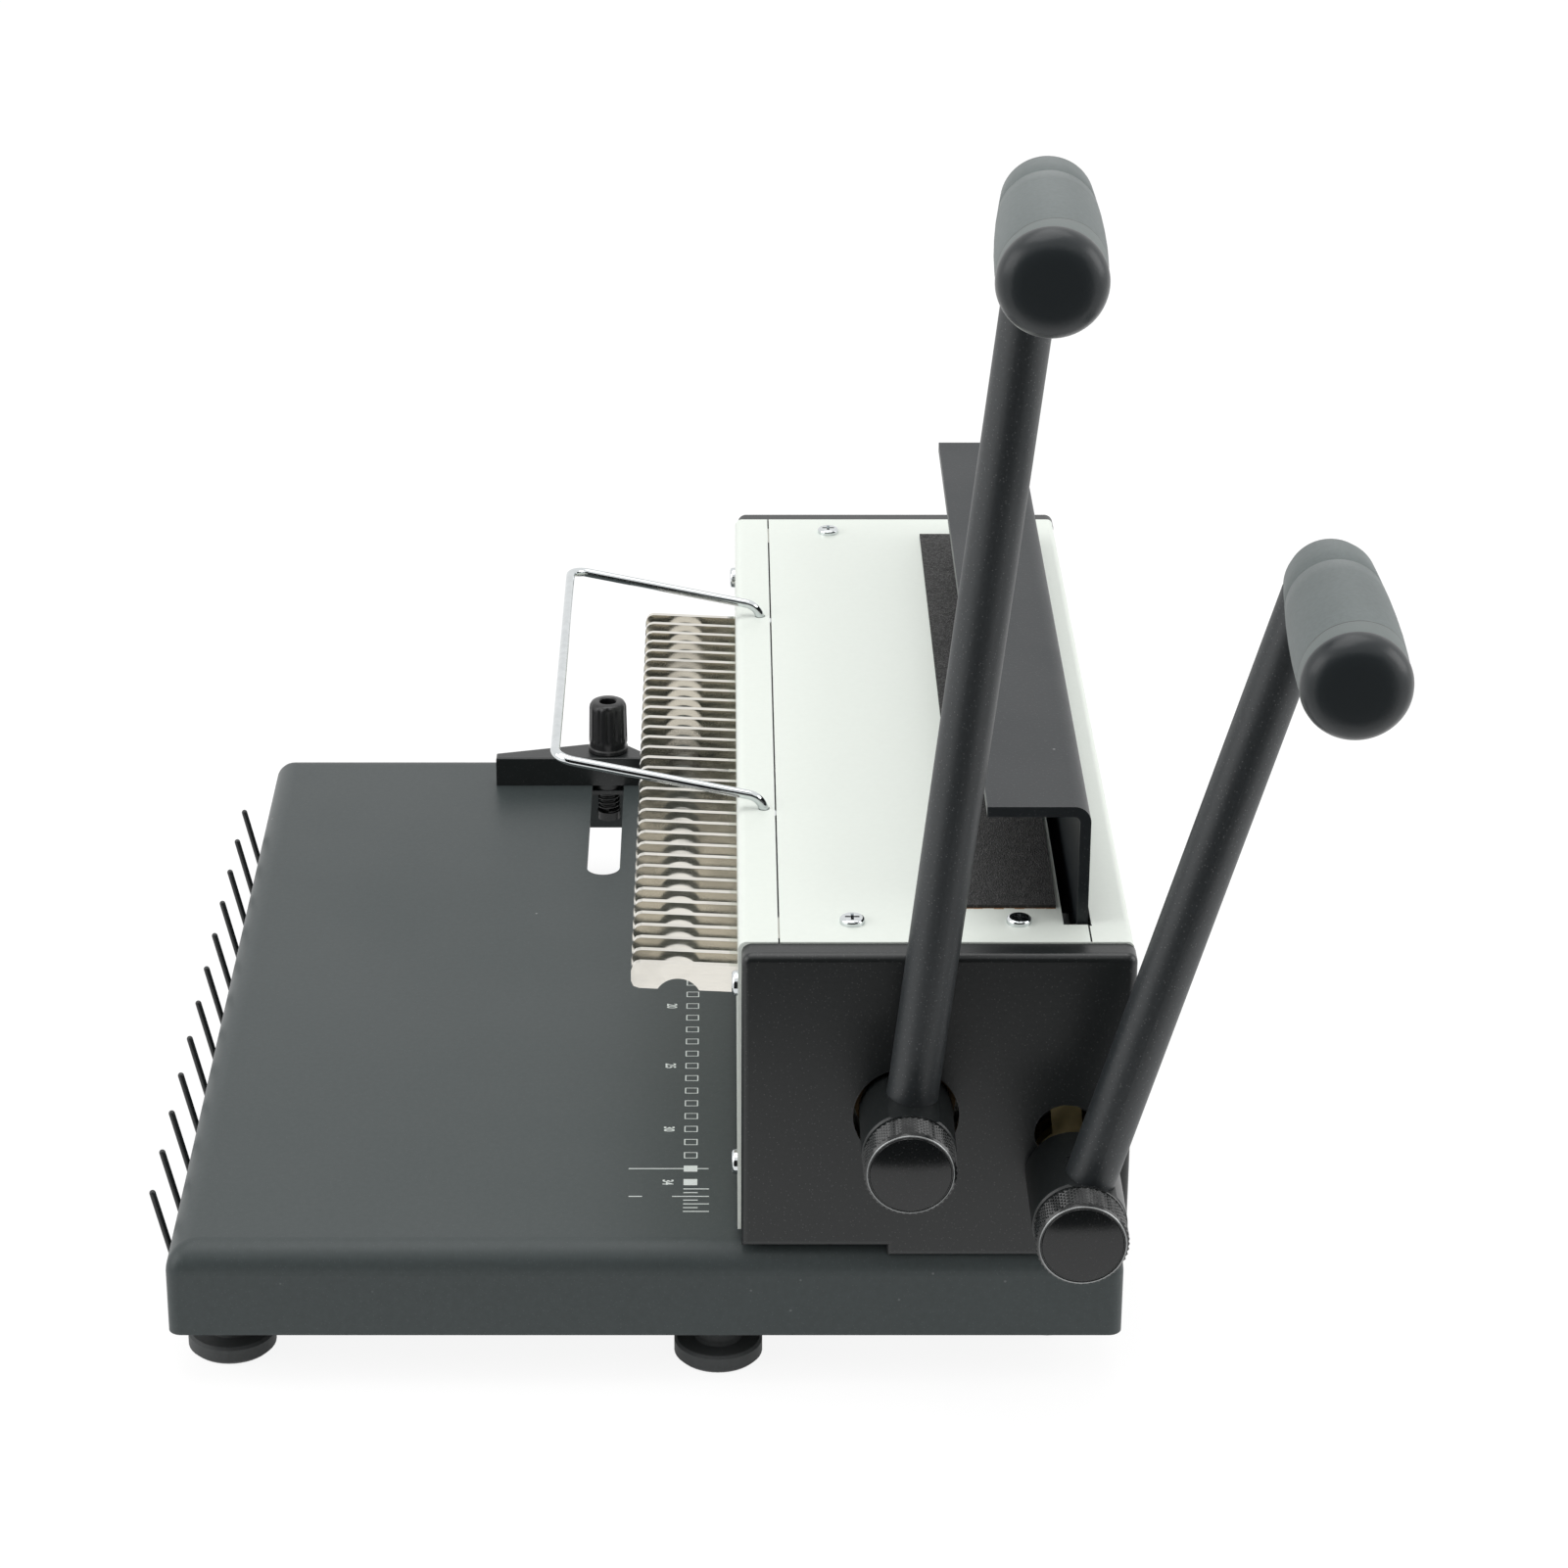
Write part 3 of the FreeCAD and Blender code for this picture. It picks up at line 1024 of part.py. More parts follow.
def die_screw_places(z):
    return [(f"die_screw_pitch * ({i} - (die_screw_count - 1) / 2)", "(stop_line + die_rear) / 2", z)
            for i in range(int(num("die_screw_count")))]


def screw_row(piece, low, high, radius):
    first = piece.pocket("XY_Plane", low, high, circle(
        "-die_screw_pitch * (die_screw_count - 1) / 2", "(stop_line + die_rear) / 2", radius))
    piece.row("X_Axis", "die_screw_pitch", "die_screw_count", first)


def die_set():
    die = Piece("die_block")
    die.pad("XY_Plane", "deck - die_thick", "deck", rect("-die_half", "die_half", "die_front",
                                                         "die_rear"))
    square_holes(die, "deck - die_thick - 1", "deck + 1", "pin_side + 2 * die_gap")
    screw_row(die, "deck - die_thick - 1", "deck + 1", "die_screw_radius + 0.05")
    post_holes(die, "deck - die_thick - 1", "deck + 1", "post_radius + fit_gap")
    keep("die_block", die.body)

    stop = Piece("stop_bar")
    stop.pad("XY_Plane", "deck", "throat_top", poly(
        ("-die_half", "die_front"), ("-cheek_half", "die_front"), ("-cheek_half", "stop_line"),
        ("cheek_half", "stop_line"), ("cheek_half", "die_front"), ("die_half", "die_front"),
        ("die_half", "die_rear"), ("-die_half", "die_rear")))
    screw_row(stop, "deck - 1", "throat_top + 1", "die_screw_radius + 0.05")
    post_holes(stop, "deck - 1", "throat_top + 1", "post_radius + fit_gap")
    keep("stop_bar", stop.body)

    guide = Piece("guide_block")
    guide.pad("XY_Plane", "throat_top", "guide_block_top", rect(
        "-web_inner + 0.1", "web_inner - 0.1", "die_front", "die_rear"))
    square_holes(guide, "throat_top - 1", "guide_block_top + 1", "pin_side + 2 * guide_gap")
    screw_row(guide, "throat_top - 1", "guide_block_top + 1", "die_screw_radius + 0.05")
    screw_row(guide, "guide_block_top - 4.3", "guide_block_top + 1", "die_screw_radius + 1.95")
    post_holes(guide, "throat_top - 1", "guide_block_top + 1",
               "punch_spring_radius + punch_spring_wire + 0.6")
    for side in ("-", ""):
        guide.pocket("YZ_Plane", *sorted((f"{side}(web_inner - 5)", f"{side}(web_inner + 1)"),
                                         key=num),
                     *[circle(y, "throat_top + guide_block_thick / 2", "screw_radius + 0.05")
                       for y in BLOCK_SCREWS])
    keep("guide_block", guide.body)

    reach = "throat_gap + guide_block_thick + die_thick"
    screw = join("die_screw",
                 rod("die_shank", "Z", "0", "0", f"1 - ({reach})", f"{reach} - 5",
                     "die_screw_radius"),
                 rod("die_head", "Z", "0", "0", "-4.3", "4", "die_screw_radius + 1.8"))
    keep("die_screws", group("die_screws", screw, die_screw_places("guide_block_top")))


def post_holes(piece, low, high, radius):
    piece.pocket("XY_Plane", low, high, circle("-post_x", "pin_y", radius),
                 circle("post_x", "pin_y", radius))


def punch_beam():
    beam = Piece("punch_beam")
    beam.pad("XY_Plane", "beam_low", "beam_top", rect("-beam_half", "beam_half", "beam_front",
                                                      "beam_rear"))
    post_holes(beam, "beam_low - 1", "beam_top + 1", "post_radius + run_gap")
    keep("punch_beam", beam.body)

    retainer = Piece("pin_retainer")
    retainer.pad("XY_Plane", "retainer_low", "beam_low", rect("-beam_half", "beam_half",
                                                              "beam_front", "pin_y + retainer_behind"))
    square_holes(retainer, "retainer_low - 1", "beam_low + 1", "pin_side + 2 * guide_gap")
    square_holes(retainer, "beam_low - head_thick - 0.05", "beam_low + 1", "head_side + 0.1")
    post_holes(retainer, "retainer_low - 1", "beam_low + 1", "post_radius + run_gap")
    keep("pin_retainer", retainer.body)

    pins = Piece("punch_pins")
    half = "pin_side / 2"
    shank = pins.pad("XY_Plane", "throat_top + pin_tip_rest", "beam_low - 0.5", rect(
        f"pin_first_x - {half}", f"pin_first_x + {half}", f"pin_y - {half}", f"pin_y + {half}"))
    half = "head_side / 2"
    head = pins.pad("XY_Plane", "beam_low - head_thick", "beam_low - 0.02", rect(
        f"pin_first_x - {half}", f"pin_first_x + {half}", f"pin_y - {half}", f"pin_y + {half}"))
    pins.row("X_Axis", "hole_pitch", "hole_count", shank, head)
    keep("punch_pins", pins.body)

    post = join("beam_post",
                rod("post_shank", "Z", "0", "pin_y", "deck - die_thick",
                    "beam_top + seat_gap - deck + die_thick", "post_radius"),
                rod("post_head_disc", "Z", "0", "pin_y", "beam_top + seat_gap", "post_head",
                    "post_head_radius"))
    keep("beam_posts", group("beam_posts", post, [("-post_x", "0", "0"), ("post_x", "0", "0")]))
    coil("punch_return_springs", "punch_spring_radius", "punch_spring_wire", "punch_spring_turns",
         "throat_top", "retainer_low", [("-post_x", "pin_y", "0"), ("post_x", "pin_y", "0")])


def punch_shaft():
    keep("punch_shaft", cut(
        "punch_shaft",
        join("punch_shaft_steps",
             rod("punch_shaft_bar", "X", "-web_outer - 4", "punch_y", "punch_z",
                 "punch_hub_in + web_outer + 4", "shaft_radius"),
             rod("punch_shaft_nose", "X", "punch_hub_in - 1", "punch_y", "punch_z",
                 "punch_hub_out - punch_hub_in - 1", "spigot_radius + 1")),
        rod("punch_shaft_thread", "X", "punch_hub_out - clamp_stud_long - 1", "punch_y", "punch_z",
            "clamp_stud_long + 2", "clamp_stud_radius + 0.05")))

    base, lift = num("cam_rate"), num("cam_lift_start")
    start, end = lift / base, lift / base + math.radians(num("punch_range"))

    def face(t):
        """A point of the involute, drawn with its line of contact turned to straight down."""
        x, y = -base, -base * t
        back = t - start
        return FreeCAD.Vector(0, x * math.cos(back) + y * math.sin(back),
                              -x * math.sin(back) + y * math.cos(back))

    knots = [face(start + (end + 0.06 - start) * i / 16) for i in range(17)]
    curve = Part.BSplineCurve()
    curve.interpolate(knots)
    hub = num("cam_hub_radius")
    tip = knots[-1]
    outline = [curve.toShape(), Part.makeLine(tip, FreeCAD.Vector(0, tip.y * 0.93, tip.z + 5)),
               Part.makeLine(FreeCAD.Vector(0, tip.y * 0.93, tip.z + 5),
                             FreeCAD.Vector(0, -2, hub - 0.2)),
               Part.makeLine(FreeCAD.Vector(0, -2, hub - 0.2), FreeCAD.Vector(0, 0, 0)),
               Part.makeLine(FreeCAD.Vector(0, 0, 0), knots[0])]
    lobe = Part.Face(Part.Wire(outline)).extrude(FreeCAD.Vector(num("cam_thick"), 0, 0))
    way = FreeCAD.Vector(1, 0, 0)
    boss = Part.makeCylinder(hub, num("cam_thick"), FreeCAD.Vector(), way)
    bore = Part.makeCylinder(num("shaft_radius + fit_gap"), num("cam_thick") + 2,
                             FreeCAD.Vector(-1, 0, 0), way)
    cam = doc.addObject("Part::Feature", "cam")
    cam.Shape = lobe.fuse(boss).cut(bore).removeSplitter()
    places = [(f"{x} - cam_thick / 2", "punch_y", "punch_z") for x in ("-cam_side", "0", "cam_side")]
    keep("punch_cams", group("punch_cams", cam, places))


def bushes(label, y, z, radius, flange):
    """A pair of flanged bushes, one in each frame plate."""
    outer = f"{radius} + bush_wall"
    bush = cut(label + "_one",
               join(label + "_outer",
                    rod(label + "_sleeve", "X", "web_outer - bush_length", "0", "0",
                        "bush_length", outer),
                    rod(label + "_flange", "X", "web_outer", "0", "0", "bush_flange",
                        flange)),
               rod(label + "_bore", "X", "web_outer - bush_length - 1", "0", "0",
                   "bush_length + bush_flange + 2", f"{radius} + run_gap"))
    half_turn = FreeCAD.Rotation(FreeCAD.Vector(0, 0, 1), 180)
    keep(label, group(label, bush, [("0", y, z), ("0", y, z, half_turn)]))


# Closing drive


def closing_shaft():
    keep("closing_shaft", cut(
        "closing_shaft",
        join("closing_shaft_steps",
             rod("closing_shaft_bar", "X", "-web_outer - 4", "closing_y", "closing_z",
                 "closing_hub_in + web_outer + 4", "closing_shaft_radius"),
             rod("closing_shaft_nose", "X", "closing_hub_in - 1", "closing_y", "closing_z",
                 "closing_hub_out - closing_hub_in - 1", "spigot_radius + 1")),
        rod("closing_shaft_thread", "X", "closing_hub_out - clamp_stud_long - 1", "closing_y",
            "closing_z", "clamp_stud_long + 2", "clamp_stud_radius + 0.05")))

    arm = Piece("crank")
    far_y, far_z = "-crank_radius * cos(crank_half_range)", "crank_radius * sin(crank_half_range)"
    arm.pad("YZ_Plane", "0", "crank_thick", circle("0", "0", "crank_hub_radius"))
    arm.pad("YZ_Plane", "0", "crank_thick", circle(far_y, far_z, "crank_eye_radius"))
    side_y, side_z = "5.5 * sin(crank_half_range)", "5.5 * cos(crank_half_range)"
    arm.pad("YZ_Plane", "0", "crank_thick", poly(
        (side_y, side_z), (f"{far_y} + {side_y}", f"{far_z} + {side_z}"),
        (f"{far_y} - {side_y}", f"{far_z} - {side_z}"), (f"-{side_y}", f"-{side_z}")))
    arm.pad("YZ_Plane", "-slider_thick - crank_side_gap - 0.2", "0.2",
            circle(far_y, far_z, "crank_pin_radius"))
    arm.pocket("YZ_Plane", "-1", "crank_thick + 1",
               circle("0", "0", "closing_shaft_radius + fit_gap"))
    doc.recompute()
    mirror = doc.addObject("Part::Mirroring", "crank_mirror")
    mirror.Source = arm.body
    mirror.Normal = FreeCAD.Vector(1, 0, 0)
    right = group("crank_right", arm.body, [("crank_inner", "closing_y", "closing_z")])
    left = group("crank_left", mirror, [("-crank_inner", "closing_y", "closing_z")])
    both = doc.addObject("Part::Compound", "closing_cranks")
    both.Links = [right, left]
    keep("closing_cranks", both)

    stop = Piece("stop_arm")
    stop.pad("YZ_Plane", "0", "stop_arm_thick", circle("0", "0", "closing_shaft_radius + 3.5"))
    stop.pad("YZ_Plane", "0", "stop_arm_thick",
             rect("-stop_arm_half", "stop_arm_half", "0", "stop_arm_long"))
    stop.soften("Fillet", "2", lambda e: along_axis("X")(e) and
                e.BoundBox.ZMin > num("stop_arm_long") - 0.1)
    stop.pocket("YZ_Plane", "-1", "stop_arm_thick + 1",
                circle("0", "0", "closing_shaft_radius + fit_gap"))
    put(stop.body, "web_outer + bush_flange + 0.5", "closing_y", "closing_z")
    keep("stop_arm", stop.body, lean="-stop_arm_lean")


def jaw_slider(label, side):
    """The block that carries one end of the jaw, with a level slot for the crank pin."""
    sign = "" if side > 0 else "-"

    def span(low, high):
        pair = (f"{sign}({low})", f"{sign}({high})")
        return pair if side > 0 else pair[::-1]

    slider = Piece(label)
    low, high = "deck + slider_low", "deck + slider_high"
    slider.pad("YZ_Plane", *span("rod_x - slider_half", "crank_inner - crank_side_gap"), rect(
        "rod_y - slider_half", "jaw_leg_front", low, high))
    slot_reach = "crank_radius * (1 - cos(crank_half_range))"
    slider.pad("YZ_Plane", *span("crank_inner - crank_side_gap - slider_thick",
                               "crank_inner - crank_side_gap"), rect(
        "crank_pin_y - 11", "rod_y + 3", "crank_pin_z - 9", f"{low} + 1"))
    slider.pocket("YZ_Plane",
                  *span("crank_inner - crank_side_gap - slider_thick - 1", "crank_inner"),
                  long_hole(f"crank_pin_y - {slot_reach}", "crank_pin_y", "crank_pin_z",
                            "crank_pin_radius + yoke_gap"))
    slider.pocket("XY_Plane", f"{low} - 1", f"{high} + 1",
                  circle(f"{sign}rod_x", "rod_y", "rod_radius + run_gap"))
    slider.pocket("XZ_Plane", "jaw_leg_front - 8", "jaw_leg_front + 1",
                  circle(f"{sign}(rod_x - 5)", "deck + slider_mid", "screw_radius + 0.1"),
                  circle(f"{sign}(rod_x + 9)", "deck + slider_mid", "screw_radius + 0.1"))
    keep(label, slider.body)


def guide_rods():
    rod_piece = join("guide_rod",
                     rod("guide_rod_bar", "Z", "0", "0", "deck", "anvil_low + 5", "rod_radius"),
                     rod("guide_rod_collar", "Z", "0", "0", "deck", "collar_thick", "rod_radius + 4"),
                     rod("guide_rod_screw", "Z", "0", "0", "deck - pan_wall - 3", "6",
                         "screw_radius"))
    keep("jaw_guide_rods", group("jaw_guide_rods", rod_piece, [
        ("-rod_x", "rod_y", "0"), ("rod_x", "rod_y", "0")]))
    coil("closing_return_springs", "closing_spring_radius", "closing_spring_wire",
         "closing_spring_turns", "deck + collar_thick", "deck + slider_low",
         [("-rod_x", "rod_y", "0"), ("rod_x", "rod_y", "0")])

    anvil = Piece("anvil_bar")
    anvil.pad("XY_Plane", "deck + anvil_low", "deck + web_top", rect(
        "-web_inner + 0.1", "web_inner - 0.1", "anvil_front", "anvil_rear"))
    anvil.pocket("XY_Plane", "deck + anvil_low - 1", "deck + anvil_low + 5.1",
                 circle("-rod_x", "rod_y", "rod_radius + fit_gap"),
                 circle("rod_x", "rod_y", "rod_radius + fit_gap"))
    anvil.pocket("XY_Plane", "deck + web_top - 6", "deck + web_top + 1",
                 *[circle(f"{side}top_screw_x", "top_screw_rear", "screw_radius + 0.1")
                   for side in ("-", "")])
    for side in ("-", ""):
        anvil.pocket("YZ_Plane", *sorted((f"{side}(web_inner - 5)", f"{side}(web_inner + 1)"),
                                         key=num),
                     *[circle(y, "deck + (anvil_low + web_top) / 2", "screw_radius + 0.05")
                       for y in ANVIL_SCREWS])
    keep("anvil_bar", anvil.body)


def closing_jaw():
    jaw = Piece("closing_jaw")
    top, foot = "deck + jaw_top", "deck + slider_low"
    jaw.pad("YZ_Plane", "jaw_left", "jaw_right", poly(
        ("jaw_front", f"{top} - jaw_sheet"), ("jaw_leg_front", f"{top} - jaw_sheet"),
        ("jaw_leg_front", foot), ("jaw_rear", foot), ("jaw_rear", top), ("jaw_front", top)))

    def bend(y, z):
        return lambda e: (along_axis("X")(e) and abs(e.BoundBox.ZMin - num(z)) < 0.01
                          and abs(e.BoundBox.YMin - num(y)) < 0.01)

    jaw.soften("Fillet", "jaw_bend", bend("jaw_rear", top))
    jaw.soften("Fillet", "jaw_bend - jaw_sheet", bend("jaw_leg_front", f"{top} - jaw_sheet"))
    mid = "deck + slider_mid"
    jaw.pocket("XZ_Plane", "jaw_leg_front - 1", "jaw_rear + 1",
               *[circle(f"{side}({x})", mid, "screw_radius + 0.1")
                 for side in ("-", "") for x in ("rod_x - 5", "rod_x + 9")])
    keep("closing_jaw", jaw.body)

    screw = join("jaw_screw", rod("jaw_shank", "Y", "0", "-7 - jaw_sheet", "0", "7.2 + jaw_sheet",
                                  "screw_radius"),
                 rod("jaw_head", "Y", "0", "0", "0", "2.2", "screw_head_radius"))
    keep("jaw_screws", group("jaw_screws", screw, [
        (f"{side}({x})", "jaw_rear", mid) for side in ("-", "") for x in ("rod_x - 5",
                                                                          "rod_x + 9")]))


# Levers


def lever(name):
    """One hand lever: hub, tube, crosswise grip core, sleeve, collar and clamp knob."""
    hub_in, hub_out, tube_x = f"{name}_hub_in", f"{name}_hub_out", f"{name}_tube_x"
    length, back, yaw = f"{name}_length", f"{name}_grip_back", f"{name}_grip_turn"
    y, z, tilt = f"{name}_y", f"{name}_z", f"{name}_tilt"

    hub = Piece(f"{name}_hub")
    hub.pad("YZ_Plane", hub_in, hub_out, circle("0", "0", "hub_radius"))
    hub.soften("Chamfer", "0.8", lambda e: e.BoundBox.YLength > 20)
    hub.pocket("XY_Plane", "tube_seat", "hub_radius + 5", rect(
        f"{tube_x} - tube_radius - 0.6", f"{hub_out} + 1", "-hub_radius - 1", "hub_radius + 1"))
    hub.pocket("YZ_Plane", f"{hub_in} - 1", f"{hub_out} + 1",
               circle("0", "0", "spigot_radius + 1 + fit_gap"))
    hub.pocket("XY_Plane", "tube_seat - 3.5", "hub_radius + 5",
               circle(tube_x, "0", "spigot_radius + 0.05"))
    keep(f"{name}_lever_hub", hub.body, y, z, tilt)

    tube = join(f"{name}_tube",
                rod(f"{name}_tube_bar", "Z", tube_x, "0", "tube_seat + 0.05",
                    f"{length} - core_radius + 2 - tube_seat", "tube_radius"),
                rod(f"{name}_tube_spigot", "Z", tube_x, "0", "tube_seat - 3.4", "5",
                    "spigot_radius"))
    saddle = put(rod(f"{name}_saddle", "X", "0", "0", "0", "40", "core_radius + 0.05"),
                 f"{tube_x} - 20 * cos({yaw})", f"{back} + 20 * sin({yaw})", length,
                 FreeCAD.Rotation(FreeCAD.Vector(0, 0, -1), num(yaw)).multiply(TURNS["X"]))
    keep(f"{name}_lever_tube", cut(f"{name}_tube_cut", tube, saddle), y, z, tilt)

    def on_top(label, piece):
        """Place a piece of the grip on the upper end of the tube."""
        put(piece.body, tube_x, "0", "0")
        keep(label, piece.body, f"{y} + {length} * sin({tilt}) + {back} * cos({tilt})",
             f"{z} + {length} * cos({tilt}) - {back} * sin({tilt})", tilt, yaw)

    inner_end = f"-{name}_overhang"
    outer_end = f"{inner_end} + grip_long"
    core = Piece(f"{name}_core")
    core.pad("YZ_Plane", f"{inner_end} + 4", f"{outer_end} - grip_cap - 0.1",
             circle("0", "0", "core_radius"))
    core.soften("Chamfer", "0.8", lambda e: e.BoundBox.YLength > 5)
    on_top(f"{name}_grip_core", core)

    seam = f"{inner_end} + collar_long"
    sleeve = Piece(f"{name}_sleeve")
    sleeve.turn("XY_Plane", "H", poly(
        (seam, "core_radius + 0.05"), (seam, "grip_inner_radius - 1.2"),
        (f"{seam} + 1", "grip_inner_radius"), (f"{outer_end} - grip_dome", "grip_radius"),
        (outer_end, "grip_radius / 2"), (outer_end, "0"), (f"{outer_end} - grip_cap", "0"),
        (f"{outer_end} - grip_cap", "core_radius + 0.05")))
    shoulder = num(f"{outer_end} - grip_dome")
    sleeve.soften("Fillet", "grip_round", lambda e: e.BoundBox.YLength > 25 and
                  abs(e.BoundBox.XMin - shoulder) < 0.01)

    collar = Piece(f"{name}_collar")
    collar.turn("XY_Plane", "H", poly(
        (f"{inner_end} + 3.9", "0"), (inner_end, "0"), (inner_end, "collar_radius - 5"),
        (f"{inner_end} + 5", "collar_radius"), (f"{seam} - 0.3", "collar_radius + 0.9"),
        (f"{seam} - 0.3", "core_radius + 0.05"), (f"{inner_end} + 3.9", "core_radius + 0.05")))
    for piece in (sleeve, collar):
        if num("tube_radius") > num(seam) or piece is collar:
            piece.pocket("XY_Plane", "-grip_radius - 2", "-core_radius / 2",
                         circle("0", f"-{back}", "tube_radius + 0.3"))
    on_top(f"{name}_grip_sleeve", sleeve)
    on_top(f"{name}_grip_collar", collar)

    knob = Piece(f"{name}_knob")
    knob.pad("YZ_Plane", f"{hub_out} + 0.1", f"{hub_out} + clamp_thick", circle(
        "0", "0", "clamp_radius"))
    knob.soften("Chamfer", "0.8", lambda e: e.BoundBox.YLength > 20)
    flute = knob.pocket("YZ_Plane", f"{hub_out} - 1", f"{hub_out} + clamp_thick - 1.2",
                        circle("0", "clamp_radius + 0.35", "0.75"))
    knob.ring("X_Axis", 48, flute)
    knob.pad("YZ_Plane", f"{hub_out} - clamp_stud_long", f"{hub_out} + 1", circle(
        "0", "0", "clamp_stud_radius"))
    keep(f"{name}_clamp_knob", knob.body, y, z, tilt)


base_pan()
feet()
hanging_pins()
edge_guide()
chip_tray()
side_plate("side_plate_right", 1)
side_plate("side_plate_left", -1)
frame_screws()
comb_plates()
front_cover()
top_cover()
side_cover("side_cover_right", 1)
side_cover("side_cover_left", -1)
side_cover_nuts()
anti_slip_strip()
wire_bail()
cover_screws()
die_set()
punch_beam()
punch_shaft()
bushes("punch_bushes", "punch_y", "punch_z", "shaft_radius", "punch_bush_flange")
closing_shaft()
bushes("closing_bushes", "closing_y", "closing_z", "closing_shaft_radius",
       "closing_bush_flange")
jaw_slider("jaw_slider_right", 1)
jaw_slider("jaw_slider_left", -1)
guide_rods()
closing_jaw()
lever("punch")
lever("closing")
doc.recompute()

# Checks and export
for item in doc.Objects:
    if "Invalid" in item.State or "Error" in item.State:
        raise RuntimeError(f"{item.Label} is {item.State}")
os.makedirs("parts", exist_ok=True)
for label, item in kept.items():
    shape = item.Shape
    if shape.isNull() or not shape.isValid() or not shape.Solids:
        raise RuntimeError(f"{label} has no valid solid")
    shape.exportStep(os.path.join("parts", label + ".step"))
box = Part.makeCompound([item.Shape for item in kept.values()]).BoundBox
print(f"{len(kept)} nodes, X {box.XMin:.2f} to {box.XMax:.2f}, Y {box.YMin:.2f} to {box.YMax:.2f}, "
      f"Z {box.ZMin:.2f} to {box.ZMax:.2f}")
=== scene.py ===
# %% [markdown]
# # A desktop punch and wire closer
# A heavy folded base carries a white housing. A row of loop holders stands out of its front, a black
# jaw rises out of its top, and two hand levers turn at its right end. The solids come from the packed
# model and never move. This lesson gives each of them its finish and adds what is too fine for them.

# %% Load the frame
import bpy, bmesh, json, math
from mathutils import Matrix, Vector


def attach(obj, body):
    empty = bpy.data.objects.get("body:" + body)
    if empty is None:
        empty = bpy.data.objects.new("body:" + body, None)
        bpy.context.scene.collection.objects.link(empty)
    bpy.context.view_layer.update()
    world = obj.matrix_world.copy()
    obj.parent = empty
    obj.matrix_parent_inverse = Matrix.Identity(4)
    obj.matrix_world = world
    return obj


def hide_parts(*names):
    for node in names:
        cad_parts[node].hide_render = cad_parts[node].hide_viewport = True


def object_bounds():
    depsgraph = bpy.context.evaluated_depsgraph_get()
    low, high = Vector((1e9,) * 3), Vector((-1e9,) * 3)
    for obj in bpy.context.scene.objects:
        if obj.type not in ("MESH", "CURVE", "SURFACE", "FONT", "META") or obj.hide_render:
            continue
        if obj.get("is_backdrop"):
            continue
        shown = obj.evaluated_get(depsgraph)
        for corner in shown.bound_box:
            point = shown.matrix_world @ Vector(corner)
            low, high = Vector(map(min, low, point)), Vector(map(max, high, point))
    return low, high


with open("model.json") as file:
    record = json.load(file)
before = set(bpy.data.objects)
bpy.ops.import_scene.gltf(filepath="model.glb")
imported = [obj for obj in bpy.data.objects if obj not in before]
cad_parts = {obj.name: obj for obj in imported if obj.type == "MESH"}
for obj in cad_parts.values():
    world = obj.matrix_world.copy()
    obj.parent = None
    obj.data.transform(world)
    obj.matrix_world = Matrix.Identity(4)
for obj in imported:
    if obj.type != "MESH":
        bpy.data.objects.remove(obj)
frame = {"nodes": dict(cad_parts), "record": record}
scene = bpy.context.scene
nodes = frame["nodes"]
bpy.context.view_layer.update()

# %% [markdown]
# The machine was drawn about the middle of its own deck, in millimetres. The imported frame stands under
# the middle of everything, levers included. One small function turns the first into the second, so that
# every place below can be written as it would be on the workshop drawing.

# %% Drawing millimetres to frame metres
SHIFT_X, SHIFT_Y = 46.208, 2.66
DECK = 46.0


def at(x, y, z):
    return Vector(((x - SHIFT_X) / 1000, (y - SHIFT_Y) / 1000, z / 1000))


print("row of holes, middle:", [round(v, 4) for v in at(0, 0, DECK)])

# %% [markdown]
# ## Camera
# The photograph looks along the row of holes from the lever end, 24 degrees down, with a long lens. The
# camera stands on that line. A small shift puts the picture's middle where the photograph has it.

# %% The photograph's camera
CAMERA_PLACE, CAMERA_DOWN, LENS, SIDE_SHIFT = (1310.6, 0, 700.2), 24, 100.6, 0.039
eye = bpy.data.cameras.new("photo_camera")
eye.lens, eye.sensor_width, eye.shift_x = LENS, 36.0, SIDE_SHIFT
eye.clip_start, eye.clip_end = 0.05, 30
camera = bpy.data.objects.new("photo_camera", eye)
camera.location = at(*CAMERA_PLACE)
camera.rotation_euler = (math.radians(90 - CAMERA_DOWN), 0, math.radians(90))
scene.collection.objects.link(camera)
scene.camera = camera
print("camera looks", [round(v, 3) for v in camera.rotation_euler.to_matrix() @ Vector((0, 0, -1))])

# %% [markdown]
# ## Shader helpers
# Every finish below is a small tree of nodes. A helper adds one node, sets its plain properties and
# plugs values or other sockets into its inputs, which keeps each finish readable in a few lines.


# %% Adding nodes
def add(tree, kind, settings=None, **inputs):
    """Add a shader node; _0, _1 name inputs by number and other names by their label."""
    node = tree.nodes.new("ShaderNode" + kind)
    for name, value in (settings or {}).items():
        setattr(node, name, value)
    for name, value in inputs.items():
        socket = node.inputs[int(name[1:])] if name[0] == "_" else node.inputs[name.replace("_", " ")]
        if isinstance(value, bpy.types.NodeSocket):
            tree.links.new(value, socket)
        else:
            socket.default_value = value
    return node


def tone(value, alpha=1.0):
    """A grey or a colour as four numbers."""
    return (value, value, value, alpha) if isinstance(value, float) else (*value, alpha)


def math_node(tree, operation, a, b=0.0, clamp=False):
    return add(tree, "Math", {"operation": operation, "use_clamp": clamp}, _0=a, _1=b).outputs[0]


def stretch(tree, value, low, high, to_low=0.0, to_high=1.0):
    """Map a value's range to another and hold it there."""
    return add(tree, "MapRange", None, Value=value, From_Min=low, From_Max=high,
               To_Min=to_low, To_Max=to_high).outputs["Result"]


